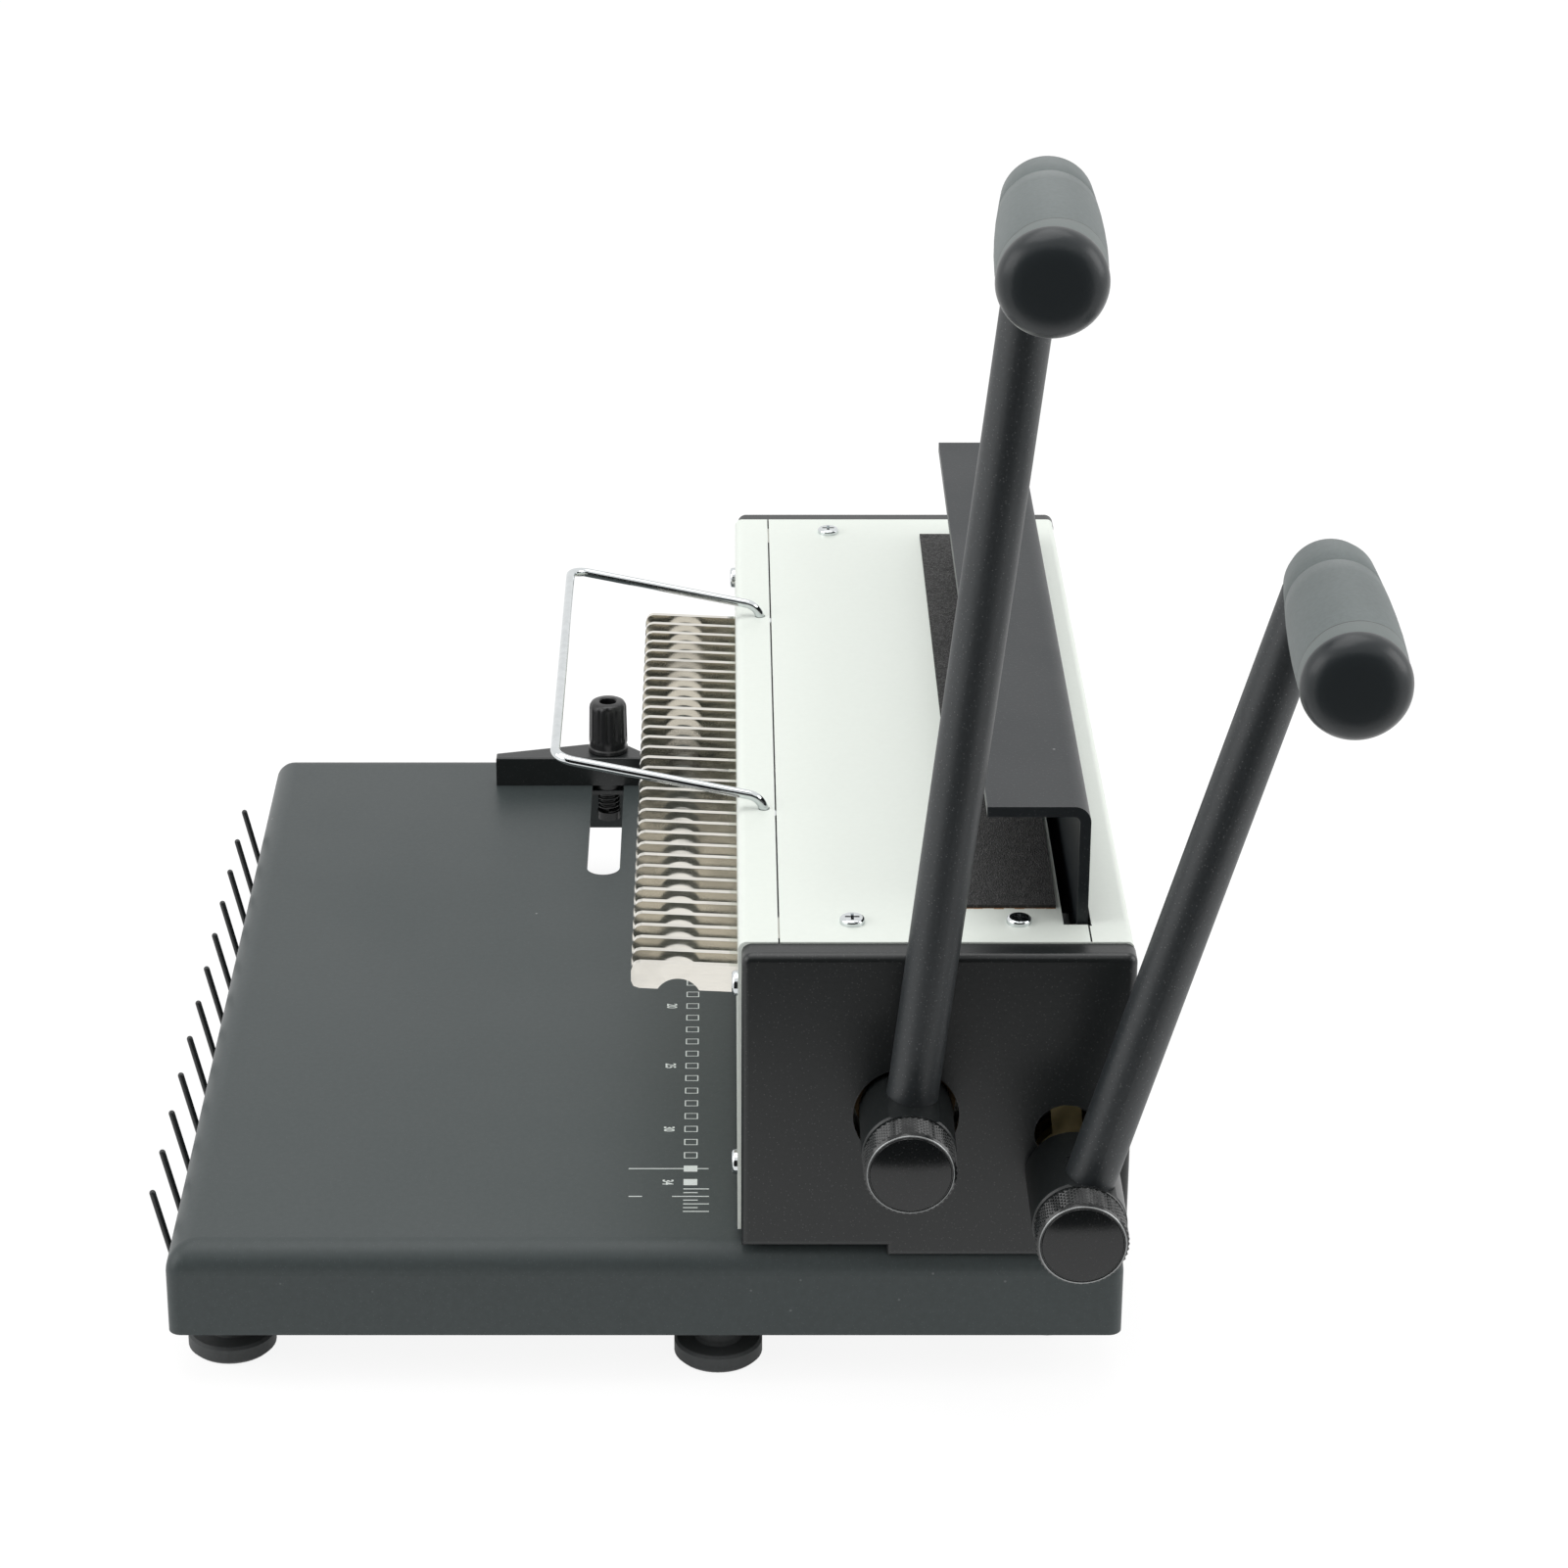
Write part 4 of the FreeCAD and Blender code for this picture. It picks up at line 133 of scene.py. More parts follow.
def mix_colours(tree, share, a, b):
    node = add(tree, "Mix", {"data_type": "RGBA"}, _0=share)
    for socket, value in ((node.inputs[6], a), (node.inputs[7], b)):
        if isinstance(value, bpy.types.NodeSocket):
            tree.links.new(value, socket)
        else:
            socket.default_value = value
    return node.outputs[2]


def own_place(tree):
    return add(tree, "TexCoord").outputs["Object"]


def looked_at(tree):
    """One for light that goes straight, or by a mirror or a lens, to the camera; zero for the rest."""
    path = add(tree, "LightPath").outputs
    return math_node(tree, "MAXIMUM", path["Is Camera Ray"], math_node(
        tree, "MAXIMUM", path["Is Glossy Ray"], path["Is Transmission Ray"]))


def new_group(name, inputs, outputs):
    """A shader node group with named sockets; returns the tree and its two end nodes."""
    tree = bpy.data.node_groups.new(name, "ShaderNodeTree")
    for label, kind, value in inputs:
        socket = tree.interface.new_socket(label, in_out="INPUT", socket_type="NodeSocket" + kind)
        socket.default_value = value
    for label, kind in outputs:
        tree.interface.new_socket(label, in_out="OUTPUT", socket_type="NodeSocket" + kind)
    return tree, tree.nodes.new("NodeGroupInput"), tree.nodes.new("NodeGroupOutput")


def use(tree, group, **inputs):
    node = tree.nodes.new("ShaderNodeGroup")
    node.node_tree = bpy.data.node_groups[group]
    for name, value in inputs.items():
        socket = node.inputs[name.replace("_", " ")]
        if isinstance(value, bpy.types.NodeSocket):
            tree.links.new(value, socket)
        else:
            socket.default_value = value
    return node


# %% [markdown]
# ## Soft studio
# Product pictures of dark machines use big soft lamps: one above, one from the operator's side and one
# from behind. Together with a pale room they light a surface so that it renders about as light as its
# colour is written. Where the camera or a reflection looks past the table, the room is plain white.

# %% Room light and lamps
scene.view_settings.view_transform = "Standard"
room = bpy.data.worlds.new("pale_room")
scene.world = room
room.use_nodes = True
sky = room.node_tree
sky.nodes.clear()
glow = add(sky, "Background", None, Color=(1.0, 1.0, 0.99, 1.0), Strength=0.50)
white = add(sky, "Background", None, Color=tone(1.0), Strength=1.0)
choose = add(sky, "MixShader", None, Fac=looked_at(sky), _1=glow.outputs[0], _2=white.outputs[0])
add(sky, "OutputWorld", None, Surface=choose.outputs[0])

LAMPS = {  # place in metres, width, height, watts
    "lamp_above": ((-0.1, -0.1, 1.7), 1.6, 1.2, 12.0),
    "lamp_operator": ((0.5, -1.5, 0.9), 1.4, 1.0, 9.5),
    "lamp_behind": ((0.3, 1.5, 0.8), 1.0, 1.0, 9.0),
}
for name, (spot, wide, high, watts) in LAMPS.items():
    light = bpy.data.lights.new(name, "AREA")
    light.shape, light.size, light.size_y, light.energy = "RECTANGLE", wide, high, watts
    lamp = bpy.data.objects.new(name, light)
    lamp.location = spot
    lamp.rotation_euler = (Vector((0, 0, 0.1)) - Vector(spot)).to_track_quat("-Z", "Y").to_euler()
    scene.collection.objects.link(lamp)
    print(name, watts, "W")

# %% [markdown]
# ## Group: baked powder coat
# Powder paint melts into a skin that is never quite flat: it has a fine orange peel, darker and lighter
# clouds, and here and there a grain that did not melt. Three noises at three sizes make these. The group
# gives a colour, a roughness and a height for a bump.

# %% Powder coat skin
coat, given, made = new_group(
    "powder_coat_skin",
    [("Colour", "Color", tone(0.03)), ("Roughness", "Float", 0.4), ("Peel size", "Float", 700.0),
     ("Cloud", "Float", 0.15), ("Grains", "Float", 0.3), ("Mottle", "Float", 0.06)],
    [("Colour", "Color"), ("Roughness", "Float"), ("Height", "Float")])
where = own_place(coat)
peel = add(coat, "TexNoise", None, Vector=where, Scale=given.outputs["Peel size"], Detail=3.0,
           Roughness=0.55).outputs["Fac"]
cloud = add(coat, "TexNoise", None, Vector=where, Scale=14.0, Detail=4.0).outputs["Fac"]
grain = add(coat, "TexVoronoi", None, Vector=where, Scale=900.0).outputs["Distance"]
grain = math_node(coat, "MULTIPLY", stretch(coat, grain, 0.0, 0.22, 1.0, 0.0), given.outputs["Grains"])
shade = math_node(coat, "ADD", 1.0, math_node(
    coat, "MULTIPLY", math_node(coat, "SUBTRACT", cloud, 0.5), given.outputs["Cloud"]))
fine = math_node(coat, "MULTIPLY", stretch(coat, peel, 0.3, 0.7, -1.0, 1.0), given.outputs["Mottle"])
shade = math_node(coat, "MULTIPLY", shade, math_node(coat, "ADD", 1.0, fine))
dark = add(coat, "VectorMath", {"operation": "SCALE"}, _0=given.outputs["Colour"], Scale=shade)
colour = mix_colours(coat, math_node(coat, "MULTIPLY", grain, 0.25), dark.outputs[0], tone(0.5))
rough = math_node(coat, "ADD", given.outputs["Roughness"], stretch(coat, cloud, 0.3, 0.7, -0.04, 0.05))
coat.links.new(colour, made.inputs["Colour"])
coat.links.new(rough, made.inputs["Roughness"])
coat.links.new(math_node(coat, "ADD", peel, math_node(coat, "MULTIPLY", grain, 0.6)),
               made.inputs["Height"])
print("group", coat.name, len(coat.nodes), "nodes")

# %% [markdown]
# ## Group: worn edges
# Paint and plating thin out on sharp bends and are rubbed there first. Rounding the normal a little and
# comparing it with the real one finds those bends without any drawing. A noise breaks the line up.

# %% Edge mask
wear, given, made = new_group(
    "worn_edges", [("Width", "Float", 0.0006), ("Amount", "Float", 0.5)], [("Mask", "Float")])
rounded = add(wear, "Bevel", {"samples": 4}, Radius=given.outputs["Width"]).outputs["Normal"]
plain = add(wear, "NewGeometry").outputs["Normal"]
facing = add(wear, "VectorMath", {"operation": "DOT_PRODUCT"}, _0=rounded, _1=plain).outputs["Value"]
bend = stretch(wear, facing, 0.995, 0.85)
patchy = add(wear, "TexNoise", None, Vector=own_place(wear), Scale=260.0, Detail=4.0).outputs["Fac"]
edge = math_node(wear, "MULTIPLY", bend, stretch(wear, patchy, 0.35, 0.62))
wear.links.new(math_node(wear, "MULTIPLY", edge, given.outputs["Amount"], True), made.inputs["Mask"])
print("group", wear.name, len(wear.nodes), "nodes")

# %% [markdown]
# ## Group: drawn metal
# Ground and drawn steel carry fine parallel lines. A noise squeezed along one axis and drawn out along
# the others makes them. It tints the metal slightly and scatters its roughness.

# %% Metal grain
drawn, given, made = new_group(
    "drawn_metal",
    [("Colour", "Color", tone(0.6)), ("Roughness", "Float", 0.25),
     ("Lines", "Vector", (60.0, 900.0, 900.0)), ("Stain", "Float", 0.2)],
    [("Colour", "Color"), ("Roughness", "Float"), ("Height", "Float")])
where = own_place(drawn)
lines = add(drawn, "TexNoise", None, Scale=1.0, Detail=3.0, Vector=add(
    drawn, "VectorMath", {"operation": "MULTIPLY"}, _0=where, _1=given.outputs["Lines"]).outputs[0]
            ).outputs["Fac"]
stain = add(drawn, "TexNoise", None, Vector=where, Scale=45.0, Detail=5.0).outputs["Fac"]
shade = math_node(drawn, "MULTIPLY", stretch(drawn, lines, 0.3, 0.7, 0.93, 1.05), math_node(
    drawn, "SUBTRACT", 1.0, math_node(drawn, "MULTIPLY", stretch(drawn, stain, 0.5, 0.8),
                                      given.outputs["Stain"])))
colour = add(drawn, "VectorMath", {"operation": "SCALE"}, _0=given.outputs["Colour"], Scale=shade)
rough = math_node(drawn, "ADD", given.outputs["Roughness"], math_node(
    drawn, "ADD", stretch(drawn, lines, 0.3, 0.7, -0.05, 0.06),
    math_node(drawn, "MULTIPLY", stretch(drawn, stain, 0.5, 0.8), 0.12)))
drawn.links.new(colour.outputs[0], made.inputs["Colour"])
drawn.links.new(rough, made.inputs["Roughness"])
drawn.links.new(lines, made.inputs["Height"])
print("group", drawn.name, len(drawn.nodes), "nodes")

# %% [markdown]
# ## Group: dust
# A machine under a studio lamp shows a few pale specks on what faces up. They are the centres of a wide
# scatter of cells, kept only where the surface looks upwards.

# %% Dust specks
dust, given, made = new_group("dust_specks", [("Amount", "Float", 0.5)], [("Mask", "Float")])
cells = add(dust, "TexVoronoi", None, Vector=own_place(dust), Scale=95.0)
speck = stretch(dust, cells.outputs["Distance"], 0.02, 0.05, 1.0, 0.0)
rare = stretch(dust, add(dust, "SeparateColor", None, Color=cells.outputs["Color"]).outputs[0], 0.8, 0.82)
upward = stretch(dust, add(dust, "SeparateXYZ", None, Vector=add(
    dust, "NewGeometry").outputs["Normal"]).outputs["Z"], -0.3, 0.8)
mask = math_node(dust, "MULTIPLY", math_node(dust, "MULTIPLY", speck, rare), upward)
dust.links.new(math_node(dust, "MULTIPLY", mask, given.outputs["Amount"], True), made.inputs["Mask"])
print("group", dust.name, len(dust.nodes), "nodes")

# %% [markdown]
# ## Paints
# The base, the black covers, the levers, the jaw and the white housing are all powder coated, each with its
# own colour and gloss; the levers' lighter black is partly painted light. One function builds such a paint
# from the groups: skin first, bare or thin edges over it, dust on top. The bump stays under a tenth of a
# millimetre.


# %% Painted sheet
def new_material(name):
    material = bpy.data.materials.new(name)
    material.use_nodes = True
    material.node_tree.nodes.clear()
    tree = material.node_tree
    shader = add(tree, "BsdfPrincipled")
    tree.links.new(shader.outputs[0], add(tree, "OutputMaterial").inputs["Surface"])
    return material, tree, shader


def painted(name, colour, roughness, edge_colour, peel=700.0, cloud=0.15, grains=0.3, bump=0.02,
            edges=0.5, width=0.0006, specks=0.4, specular=0.5, mottle=0.06):
    material, tree, shader = new_material(name)
    skin = use(tree, "powder_coat_skin", Colour=tone(colour), Roughness=roughness, Peel_size=peel,
               Cloud=cloud, Grains=grains, Mottle=mottle)
    base = mix_colours(tree, use(tree, "worn_edges", Width=width, Amount=edges).outputs["Mask"],
                       skin.outputs["Colour"], tone(edge_colour))
    base = mix_colours(tree, use(tree, "dust_specks", Amount=specks).outputs["Mask"], base, tone(0.55))
    tree.links.new(base, shader.inputs["Base Color"])
    tree.links.new(skin.outputs["Roughness"], shader.inputs["Roughness"])
    tree.links.new(add(tree, "Bump", None, Strength=bump * 10, Distance=0.0001,
                       Height=skin.outputs["Height"]).outputs[0], shader.inputs["Normal"])
    shader.inputs["Specular IOR Level"].default_value = specular
    return material


charcoal = painted("charcoal_powder_coat", (0.050, 0.061, 0.062), 0.42, (0.14, 0.15, 0.15),
                   peel=520.0, cloud=0.12, bump=0.02, width=0.0012, edges=0.25, specks=0.5, specular=0.32)
black = painted("black_powder_coat", (0.0115, 0.0135, 0.0140), 0.35, (0.10, 0.105, 0.11),
                peel=800.0, grains=0.5, bump=0.03, edges=0.3, specks=0.15, specular=0.5)
# The tubes' coat is the black made rougher and speckled. It is also lighter in colour, partly as painted
# light for the side light the tubes catch.
lever_black_painted_lighter = painted("lever_coat_painted_lighter", (0.017, 0.021, 0.0235), 0.46, (0.10, 0.105, 0.11),
                      peel=900.0, grains=0.9, bump=0.04, edges=0.3, specks=0.2, specular=0.65, mottle=0.15)
jaw_black = painted("jaw_powder_coat", (0.0078, 0.0110, 0.0135), 0.42, (0.10, 0.105, 0.11),
                    peel=800.0, grains=0.5, bump=0.03, edges=0.3, specks=0.4, specular=0.38)
housing_white = painted("white_powder_coat", (0.86, 0.91, 0.85), 0.35, (0.9, 0.93, 0.89),
                        peel=600.0, cloud=0.01, grains=0.0, bump=0.006, edges=0.3, specks=0.0, specular=0.4,
                        mottle=0.01)
print("paints:", charcoal.name, black.name, housing_white.name)

# %% [markdown]
# ## Metals
# Chrome on the bent wire and screws is mirror-bright. The loop holders are nickel-plated stampings with
# a warmer, softer shine. The inner frame is zinc-plated, the shafts are ground steel and the plain
# bearings are bronze. They share the drawn-metal group with different colours and gloss.


# %% Metal finishes
def metal(name, colour, roughness, lines=(60.0, 900.0, 900.0), stain=0.2, bump=0.05, edges=0.3,
          edge_colour=0.85, width=0.0003):
    material, tree, shader = new_material(name)
    grain = use(tree, "drawn_metal", Colour=tone(colour), Roughness=roughness, Lines=lines, Stain=stain)
    base = mix_colours(tree, use(tree, "worn_edges", Width=width, Amount=edges).outputs["Mask"],
                       grain.outputs["Colour"], tone(edge_colour))
    tree.links.new(base, shader.inputs["Base Color"])
    tree.links.new(grain.outputs["Roughness"], shader.inputs["Roughness"])
    tree.links.new(add(tree, "Bump", None, Strength=bump, Distance=0.00003,
                       Height=grain.outputs["Height"]).outputs[0], shader.inputs["Normal"])
    shader.inputs["Metallic"].default_value = 1.0
    return material


chrome = metal("bright_chrome", (0.67, 0.70, 0.71), 0.06, (300.0, 300.0, 300.0), 0.05, 0.01, 0.1)
nickel = metal("nickel_plate", (0.76, 0.735, 0.675), 0.1, (500.0, 120.0, 500.0), 0.15, 0.02, 0.5)
steel = metal("ground_steel", (0.55, 0.56, 0.57), 0.28)
zinc = metal("zinc_plate", (0.66, 0.65, 0.60), 0.34, (400.0, 400.0, 400.0), 0.3)
yellow_zinc = metal("yellow_zinc_plate", (0.66, 0.54, 0.28), 0.45, (400.0, 400.0, 400.0), 0.8, edges=0.1)
bronze = metal("bearing_bronze", (0.16, 0.11, 0.06), 0.5, (900.0, 90.0, 90.0), 0.7, edges=0.0)
spring_wire = metal("spring_wire", (0.42, 0.42, 0.43), 0.3, (400.0, 400.0, 400.0), 0.3)
print("metals:", [made.name for made in (chrome, nickel, steel, zinc, yellow_zinc, bronze, spring_wire)])

# %% [markdown]
# ## Rubber, plastic and grit
# Feet and grips are rubber: dull, slightly bloomed and finely pitted. The guide's knob is a glossier
# moulded plastic. The strip on top is black grit on a tan backing.

# %% Moulded and gritted finishes
rubber = painted("foot_rubber", (0.066, 0.070, 0.071), 0.6, (0.07, 0.07, 0.07), peel=500.0, cloud=0.4,
                 grains=0.2, bump=0.04, edges=0.4, specks=0.8, specular=0.3)
moulded_black = painted("moulded_black_plastic", (0.012, 0.012, 0.013), 0.3, (0.06, 0.06, 0.06),
                        peel=300.0, cloud=0.2, grains=0.1, bump=0.01, edges=0.4, width=0.0003, specks=0.2)


def sleeve_material(name, shade_from_x, seam_x, centre_y):
    """A dull foam-rubber sleeve with a lapped seam. Its pale tone is partly its own colour and partly
    painted top light; from the given x on, the outer end of the same rubber is coloured near-black as
    painted shade, for it faces away from the lamps.
    """
    material, tree, shader = new_material(name)
    where = own_place(tree)
    axes = add(tree, "SeparateXYZ", None, Vector=where).outputs
    wave = add(tree, "TexNoise", None, Vector=where, Scale=60.0, Detail=2.0).outputs["Fac"]
    sideways = math_node(tree, "MULTIPLY", math_node(tree, "SUBTRACT", axes["Y"], centre_y), 0.16)
    lap = math_node(tree, "ADD", math_node(tree, "SUBTRACT", axes["X"], seam_x), sideways)
    lap = math_node(tree, "ADD", lap, stretch(tree, wave, 0.3, 0.7, -0.0006, 0.0006))
    line = stretch(tree, math_node(tree, "ABSOLUTE", lap), 0.00012, 0.0004, 1.0, 0.0)
    over = stretch(tree, lap, 0.0, 0.0005)
    # Painted shade: from here to the outer end the rubber is coloured near-black, for this end faces away
    # from the lamps.
    cap_shade = stretch(tree, axes["X"], shade_from_x - 0.0004, shade_from_x + 0.0002)
    # The pale sleeve tone is partly the rubber's own colour and partly painted top light.
    skin = use(tree, "powder_coat_skin", Colour=tone((0.126, 0.147, 0.147)), Roughness=0.75,
               Peel_size=800.0, Cloud=0.55, Grains=0.1, Mottle=0.08)
    base = mix_colours(tree, over, skin.outputs["Colour"], tone((0.155, 0.177, 0.174)))
    base = mix_colours(tree, line, base, tone((0.055, 0.060, 0.058)))
    base = mix_colours(tree, cap_shade, base, tone((0.014, 0.0185, 0.021)))
    tree.links.new(base, shader.inputs["Base Color"])
    tree.links.new(stretch(tree, cap_shade, 0.0, 1.0, 0.75, 0.32), shader.inputs["Roughness"])
    step = math_node(tree, "ADD", math_node(tree, "MULTIPLY", over, 4.0), skin.outputs["Height"])
    tree.links.new(add(tree, "Bump", None, Strength=0.3, Distance=0.0001, Height=step).outputs[0],
                   shader.inputs["Normal"])
    shader.inputs["Sheen Weight"].default_value = 0.2
    shader.inputs["Specular IOR Level"].default_value = 0.35
    return material


def grit_material():
    material, tree, shader = new_material("grit_strip")
    where = own_place(tree)
    stones = add(tree, "TexVoronoi", None, Vector=where, Scale=1900.0)
    clumps = add(tree, "TexNoise", None, Vector=where, Scale=300.0, Detail=5.0).outputs["Fac"]
    pick = add(tree, "SeparateColor", None, Color=stones.outputs["Color"]).outputs[0]
    light = math_node(tree, "MULTIPLY", stretch(tree, pick, 0.72, 0.95), stretch(tree, clumps, 0.4, 0.6))
    base = mix_colours(tree, light, tone((0.014, 0.014, 0.014)), tone((0.085, 0.085, 0.08)))
    tree.links.new(base, shader.inputs["Base Color"])
    tree.links.new(stretch(tree, pick, 0.0, 1.0, 0.45, 0.9), shader.inputs["Roughness"])
    height = math_node(tree, "ADD", stones.outputs["Distance"], clumps)
    tree.links.new(add(tree, "Bump", None, Strength=0.9, Distance=0.0003, Height=height).outputs[0],
                   shader.inputs["Normal"])
    return material


grit = grit_material()
PUNCH_GRIP_END, CLOSING_GRIP_END = 248.5, 284.5
CAP_LONG, SEAM_BACK = 7.6, 15.0
punch_sleeve = sleeve_material("punch_sleeve_painted_light", at(PUNCH_GRIP_END - CAP_LONG, 0, 0).x,
                               at(PUNCH_GRIP_END - SEAM_BACK, 0, 0).x, at(0, 85, 0).y)
closing_sleeve = sleeve_material("closing_sleeve_painted_light", at(CLOSING_GRIP_END - CAP_LONG, 0, 0).x,
                                 at(CLOSING_GRIP_END - SEAM_BACK, 0, 0).x, at(0, 161, 0).y)
print("moulded and gritted:", [made.name for made in (rubber, moulded_black, grit, punch_sleeve)])

# %% [markdown]
# ## Dressing the solids
# Each solid takes the finish that its record names. The lever tubes, the jaw and the rear grip have one of
# their own: the tubes' black is a little lighter, partly as painted light, and the grip's dark end is
# painted shade. Their meshes are left as they are; only the material slot changes.

# %% Assign the finishes
FINISH = {
    "charcoal_paint": charcoal, "black_paint": black, "white_paint": housing_white, "rubber": rubber,
    "grip_rubber": punch_sleeve, "chrome": chrome, "nickel": nickel, "steel": steel, "zinc": zinc,
    "yellow_zinc": yellow_zinc, "bronze": bronze, "spring_steel": spring_wire, "grit": grit,
    "black_plastic": moulded_black,
}
OWN_FINISH = {
    "punch_lever_tube": lever_black_painted_lighter, "closing_lever_tube": lever_black_painted_lighter, "closing_jaw": jaw_black,
    "closing_grip_sleeve": closing_sleeve, "closing_grip_collar": closing_sleeve,
}
named = {part["node"]: part["material_slot"] for part in frame["record"]["subparts"]}
for name, solid in nodes.items():
    finish = OWN_FINISH.get(name) or FINISH[named[name]]
    solid.data.materials.clear()
    solid.data.materials.append(finish)
print("dressed", len(named), "solids")

# %% [markdown]
# ## Making pieces
# The pieces below are too fine for the solids. Flat print is cut from small grids. Round pieces are turned
# as on a lathe: half an outline is drawn, then spun once round its axis.


# %% Workshop helpers
def finished(work, name, materials, body):
    """Turn a working mesh into a piece that moves with one body of the machine."""
    bmesh.ops.recalc_face_normals(work, faces=work.faces)
    for edge in work.edges:
        edge.smooth = len(edge.link_faces) != 2 or edge.calc_face_angle(0.0) < math.radians(32)
    mesh = bpy.data.meshes.new(name)
    work.to_mesh(mesh)
    work.free()
    for material in materials:
        mesh.materials.append(material)
    piece = bpy.data.objects.new(name, mesh)
    scene.collection.objects.link(piece)
    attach(piece, body)
    print(name, "rides", body, "with", len(mesh.polygons), "faces")
    return piece


def turned(outline, steps):
    """Spin an outline of (along, radius) in millimetres once round the X axis."""
    work = bmesh.new()
    ends = [work.verts.new((along / 1000, 0, radius / 1000)) for along, radius in outline]
    lines = [work.edges.new(pair) for pair in zip(ends, ends[1:])]
    bmesh.ops.spin(work, geom=ends + lines, cent=(0, 0, 0), axis=(1, 0, 0), dvec=(0, 0, 0),
                   angle=2 * math.pi, steps=steps, use_merge=True, use_duplicate=False)
    bmesh.ops.remove_doubles(work, verts=work.verts, dist=1e-7)
    for face in work.faces:
        face.smooth = True
    return work


def set_down(work, place, direction=(1, 0, 0)):
    """Lay a turned piece with its start at the place and its axis along the direction."""
    turn = Vector((1, 0, 0)).rotation_difference(Vector(direction))
    bmesh.ops.transform(work, matrix=Matrix.Translation(place) @ turn.to_matrix().to_4x4(),
                        verts=work.verts)


def push_in(point, depth):
    """Move a point of a turned piece towards the X axis by millimetres."""
    away = Vector((0, point.co.y, point.co.z))
    point.co -= away.normalized() * (depth / 1000)


def flat_bar(work, x_low, x_high, y_low, y_high, z):
    """A filled rectangle that lies flat, in drawing millimetres; returns its face."""
    made = bmesh.ops.create_grid(work, x_segments=1, y_segments=1, size=0.5)
    bmesh.ops.scale(work, vec=((x_high - x_low) / 1000, (y_high - y_low) / 1000, 1), verts=made["verts"])
    bmesh.ops.translate(work, vec=at((x_low + x_high) / 2, (y_low + y_high) / 2, z), verts=made["verts"])
    return made["verts"][0].link_faces[0]


# %% [markdown]
# ## Printed scale
# The deck carries a screen-printed scale in front of the housing: one small square for each punched hole,
# a number at every fifth, two filled squares at the end, and a few lines that show where a sheet's edge
# goes. The ink is a hundredth of a millimetre thick, so flat faces just above the paint are enough. The
# numbers are type, made into a mesh and set down beside their squares.

# %% Ink on the deck
ink_white = painted("scale_ink", (0.74, 0.78, 0.76), 0.55, (0.74, 0.78, 0.76), peel=1500.0, cloud=0.1,
                    grains=0.0, bump=0.01, edges=0.0, specks=0.0, specular=0.3)
HOLE_PITCH, HOLE_COUNT = 8.467, 34
FIRST_HOLE = -HOLE_PITCH * (HOLE_COUNT - 1) / 2
INK_Z = DECK + 0.03
SQUARE_Y, SQUARE_LONG, SQUARE_WIDE, LINE = -9.9, 3.8, 4.2, 0.5
NUMBER_Y, NUMBER_SIZE, NUMBER_NARROW = -16.9, 4.6, 0.72
SHEET_EDGE, TICK_PITCH = 148.5, 2.3
print_work = bmesh.new()
for number in range(1, HOLE_COUNT + 1):
    x = FIRST_HOLE + HOLE_PITCH * (number - 1)
    square = flat_bar(print_work, x - SQUARE_LONG / 2, x + SQUARE_LONG / 2,
                      SQUARE_Y - SQUARE_WIDE / 2, SQUARE_Y + SQUARE_WIDE / 2, INK_Z)
    if number < HOLE_COUNT - 1:
        bmesh.ops.inset_individual(print_work, faces=[square], thickness=LINE / 1000)
        bmesh.ops.delete(print_work, geom=[square], context="FACES")
    if number % 5 == 0 or number == HOLE_COUNT:
        type_face = bpy.data.curves.new("number", "FONT")
        type_face.body, type_face.size, type_face.offset = str(number), NUMBER_SIZE, 0.10
        type_face.align_x = type_face.align_y = "CENTER"
        type_object = bpy.data.objects.new("number", type_face)
        digits = bpy.data.meshes.new_from_object(type_object)
        place = Matrix.Translation(at(x, NUMBER_Y, INK_Z))
        digits.transform(place @ Matrix.Diagonal((NUMBER_NARROW / 1000, 0.001, 0.001, 1)))
        print_work.from_mesh(digits)
        bpy.data.objects.remove(type_object)
x = FIRST_HOLE + HOLE_PITCH * (HOLE_COUNT - 2)
flat_bar(print_work, x - LINE / 2, x + LINE / 2, -28.9, SQUARE_Y - SQUARE_WIDE / 2, INK_Z)
flat_bar(print_work, x - LINE / 2, x + LINE / 2, SQUARE_Y + SQUARE_WIDE / 2, -4.4, INK_Z)
flat_bar(print_work, SHEET_EDGE - LINE / 2, SHEET_EDGE + LINE / 2, -28.6, -24.5, INK_Z)
for step in range(-2, 5):
    x = SHEET_EDGE + TICK_PITCH * step
    low = -15.4 if step == 0 else SQUARE_Y - SQUARE_WIDE / 2
    high = -4.2 if step % 2 == 0 else SQUARE_Y + SQUARE_WIDE / 2 + 0.2
    flat_bar(print_work, x - LINE / 2, x + LINE / 2, low, high, INK_Z)
finished(print_work, "printed_scale", [ink_white], "machine")

# %% [markdown]
# ## Clamp knobs
# Each lever is held by a turned black knob. A knurling wheel has pressed two families of slanting grooves
# into its rim, which leave rows of small pyramids. In the mesh, every second point of an even net is
# pushed in, and each cell is split along its two low points, so that the grooves run slantwise. A chamfer
# and a narrow groove frame the front face, and the line between them is rubbed bright.

# %% Knurled knobs
knob_black = painted("turned_black", (0.007, 0.008, 0.0085), 0.15, (0.2, 0.21, 0.21), peel=900.0, cloud=0.2,
                     grains=0.3, bump=0.008, edges=0.5, width=0.0002, specks=0.5, specular=0.5)
rubbed = metal("rubbed_steel", (0.30, 0.31, 0.31), 0.34, (900.0, 900.0, 900.0), 0.9, 0.2, 0.1)
KNOB_RADIUS, KNURL_STEPS, KNURL_DEEP, KNURL_PITCH = 13.5, 96, 0.45, 0.85
KNURL_ROWS, BAND = 10, 1.3


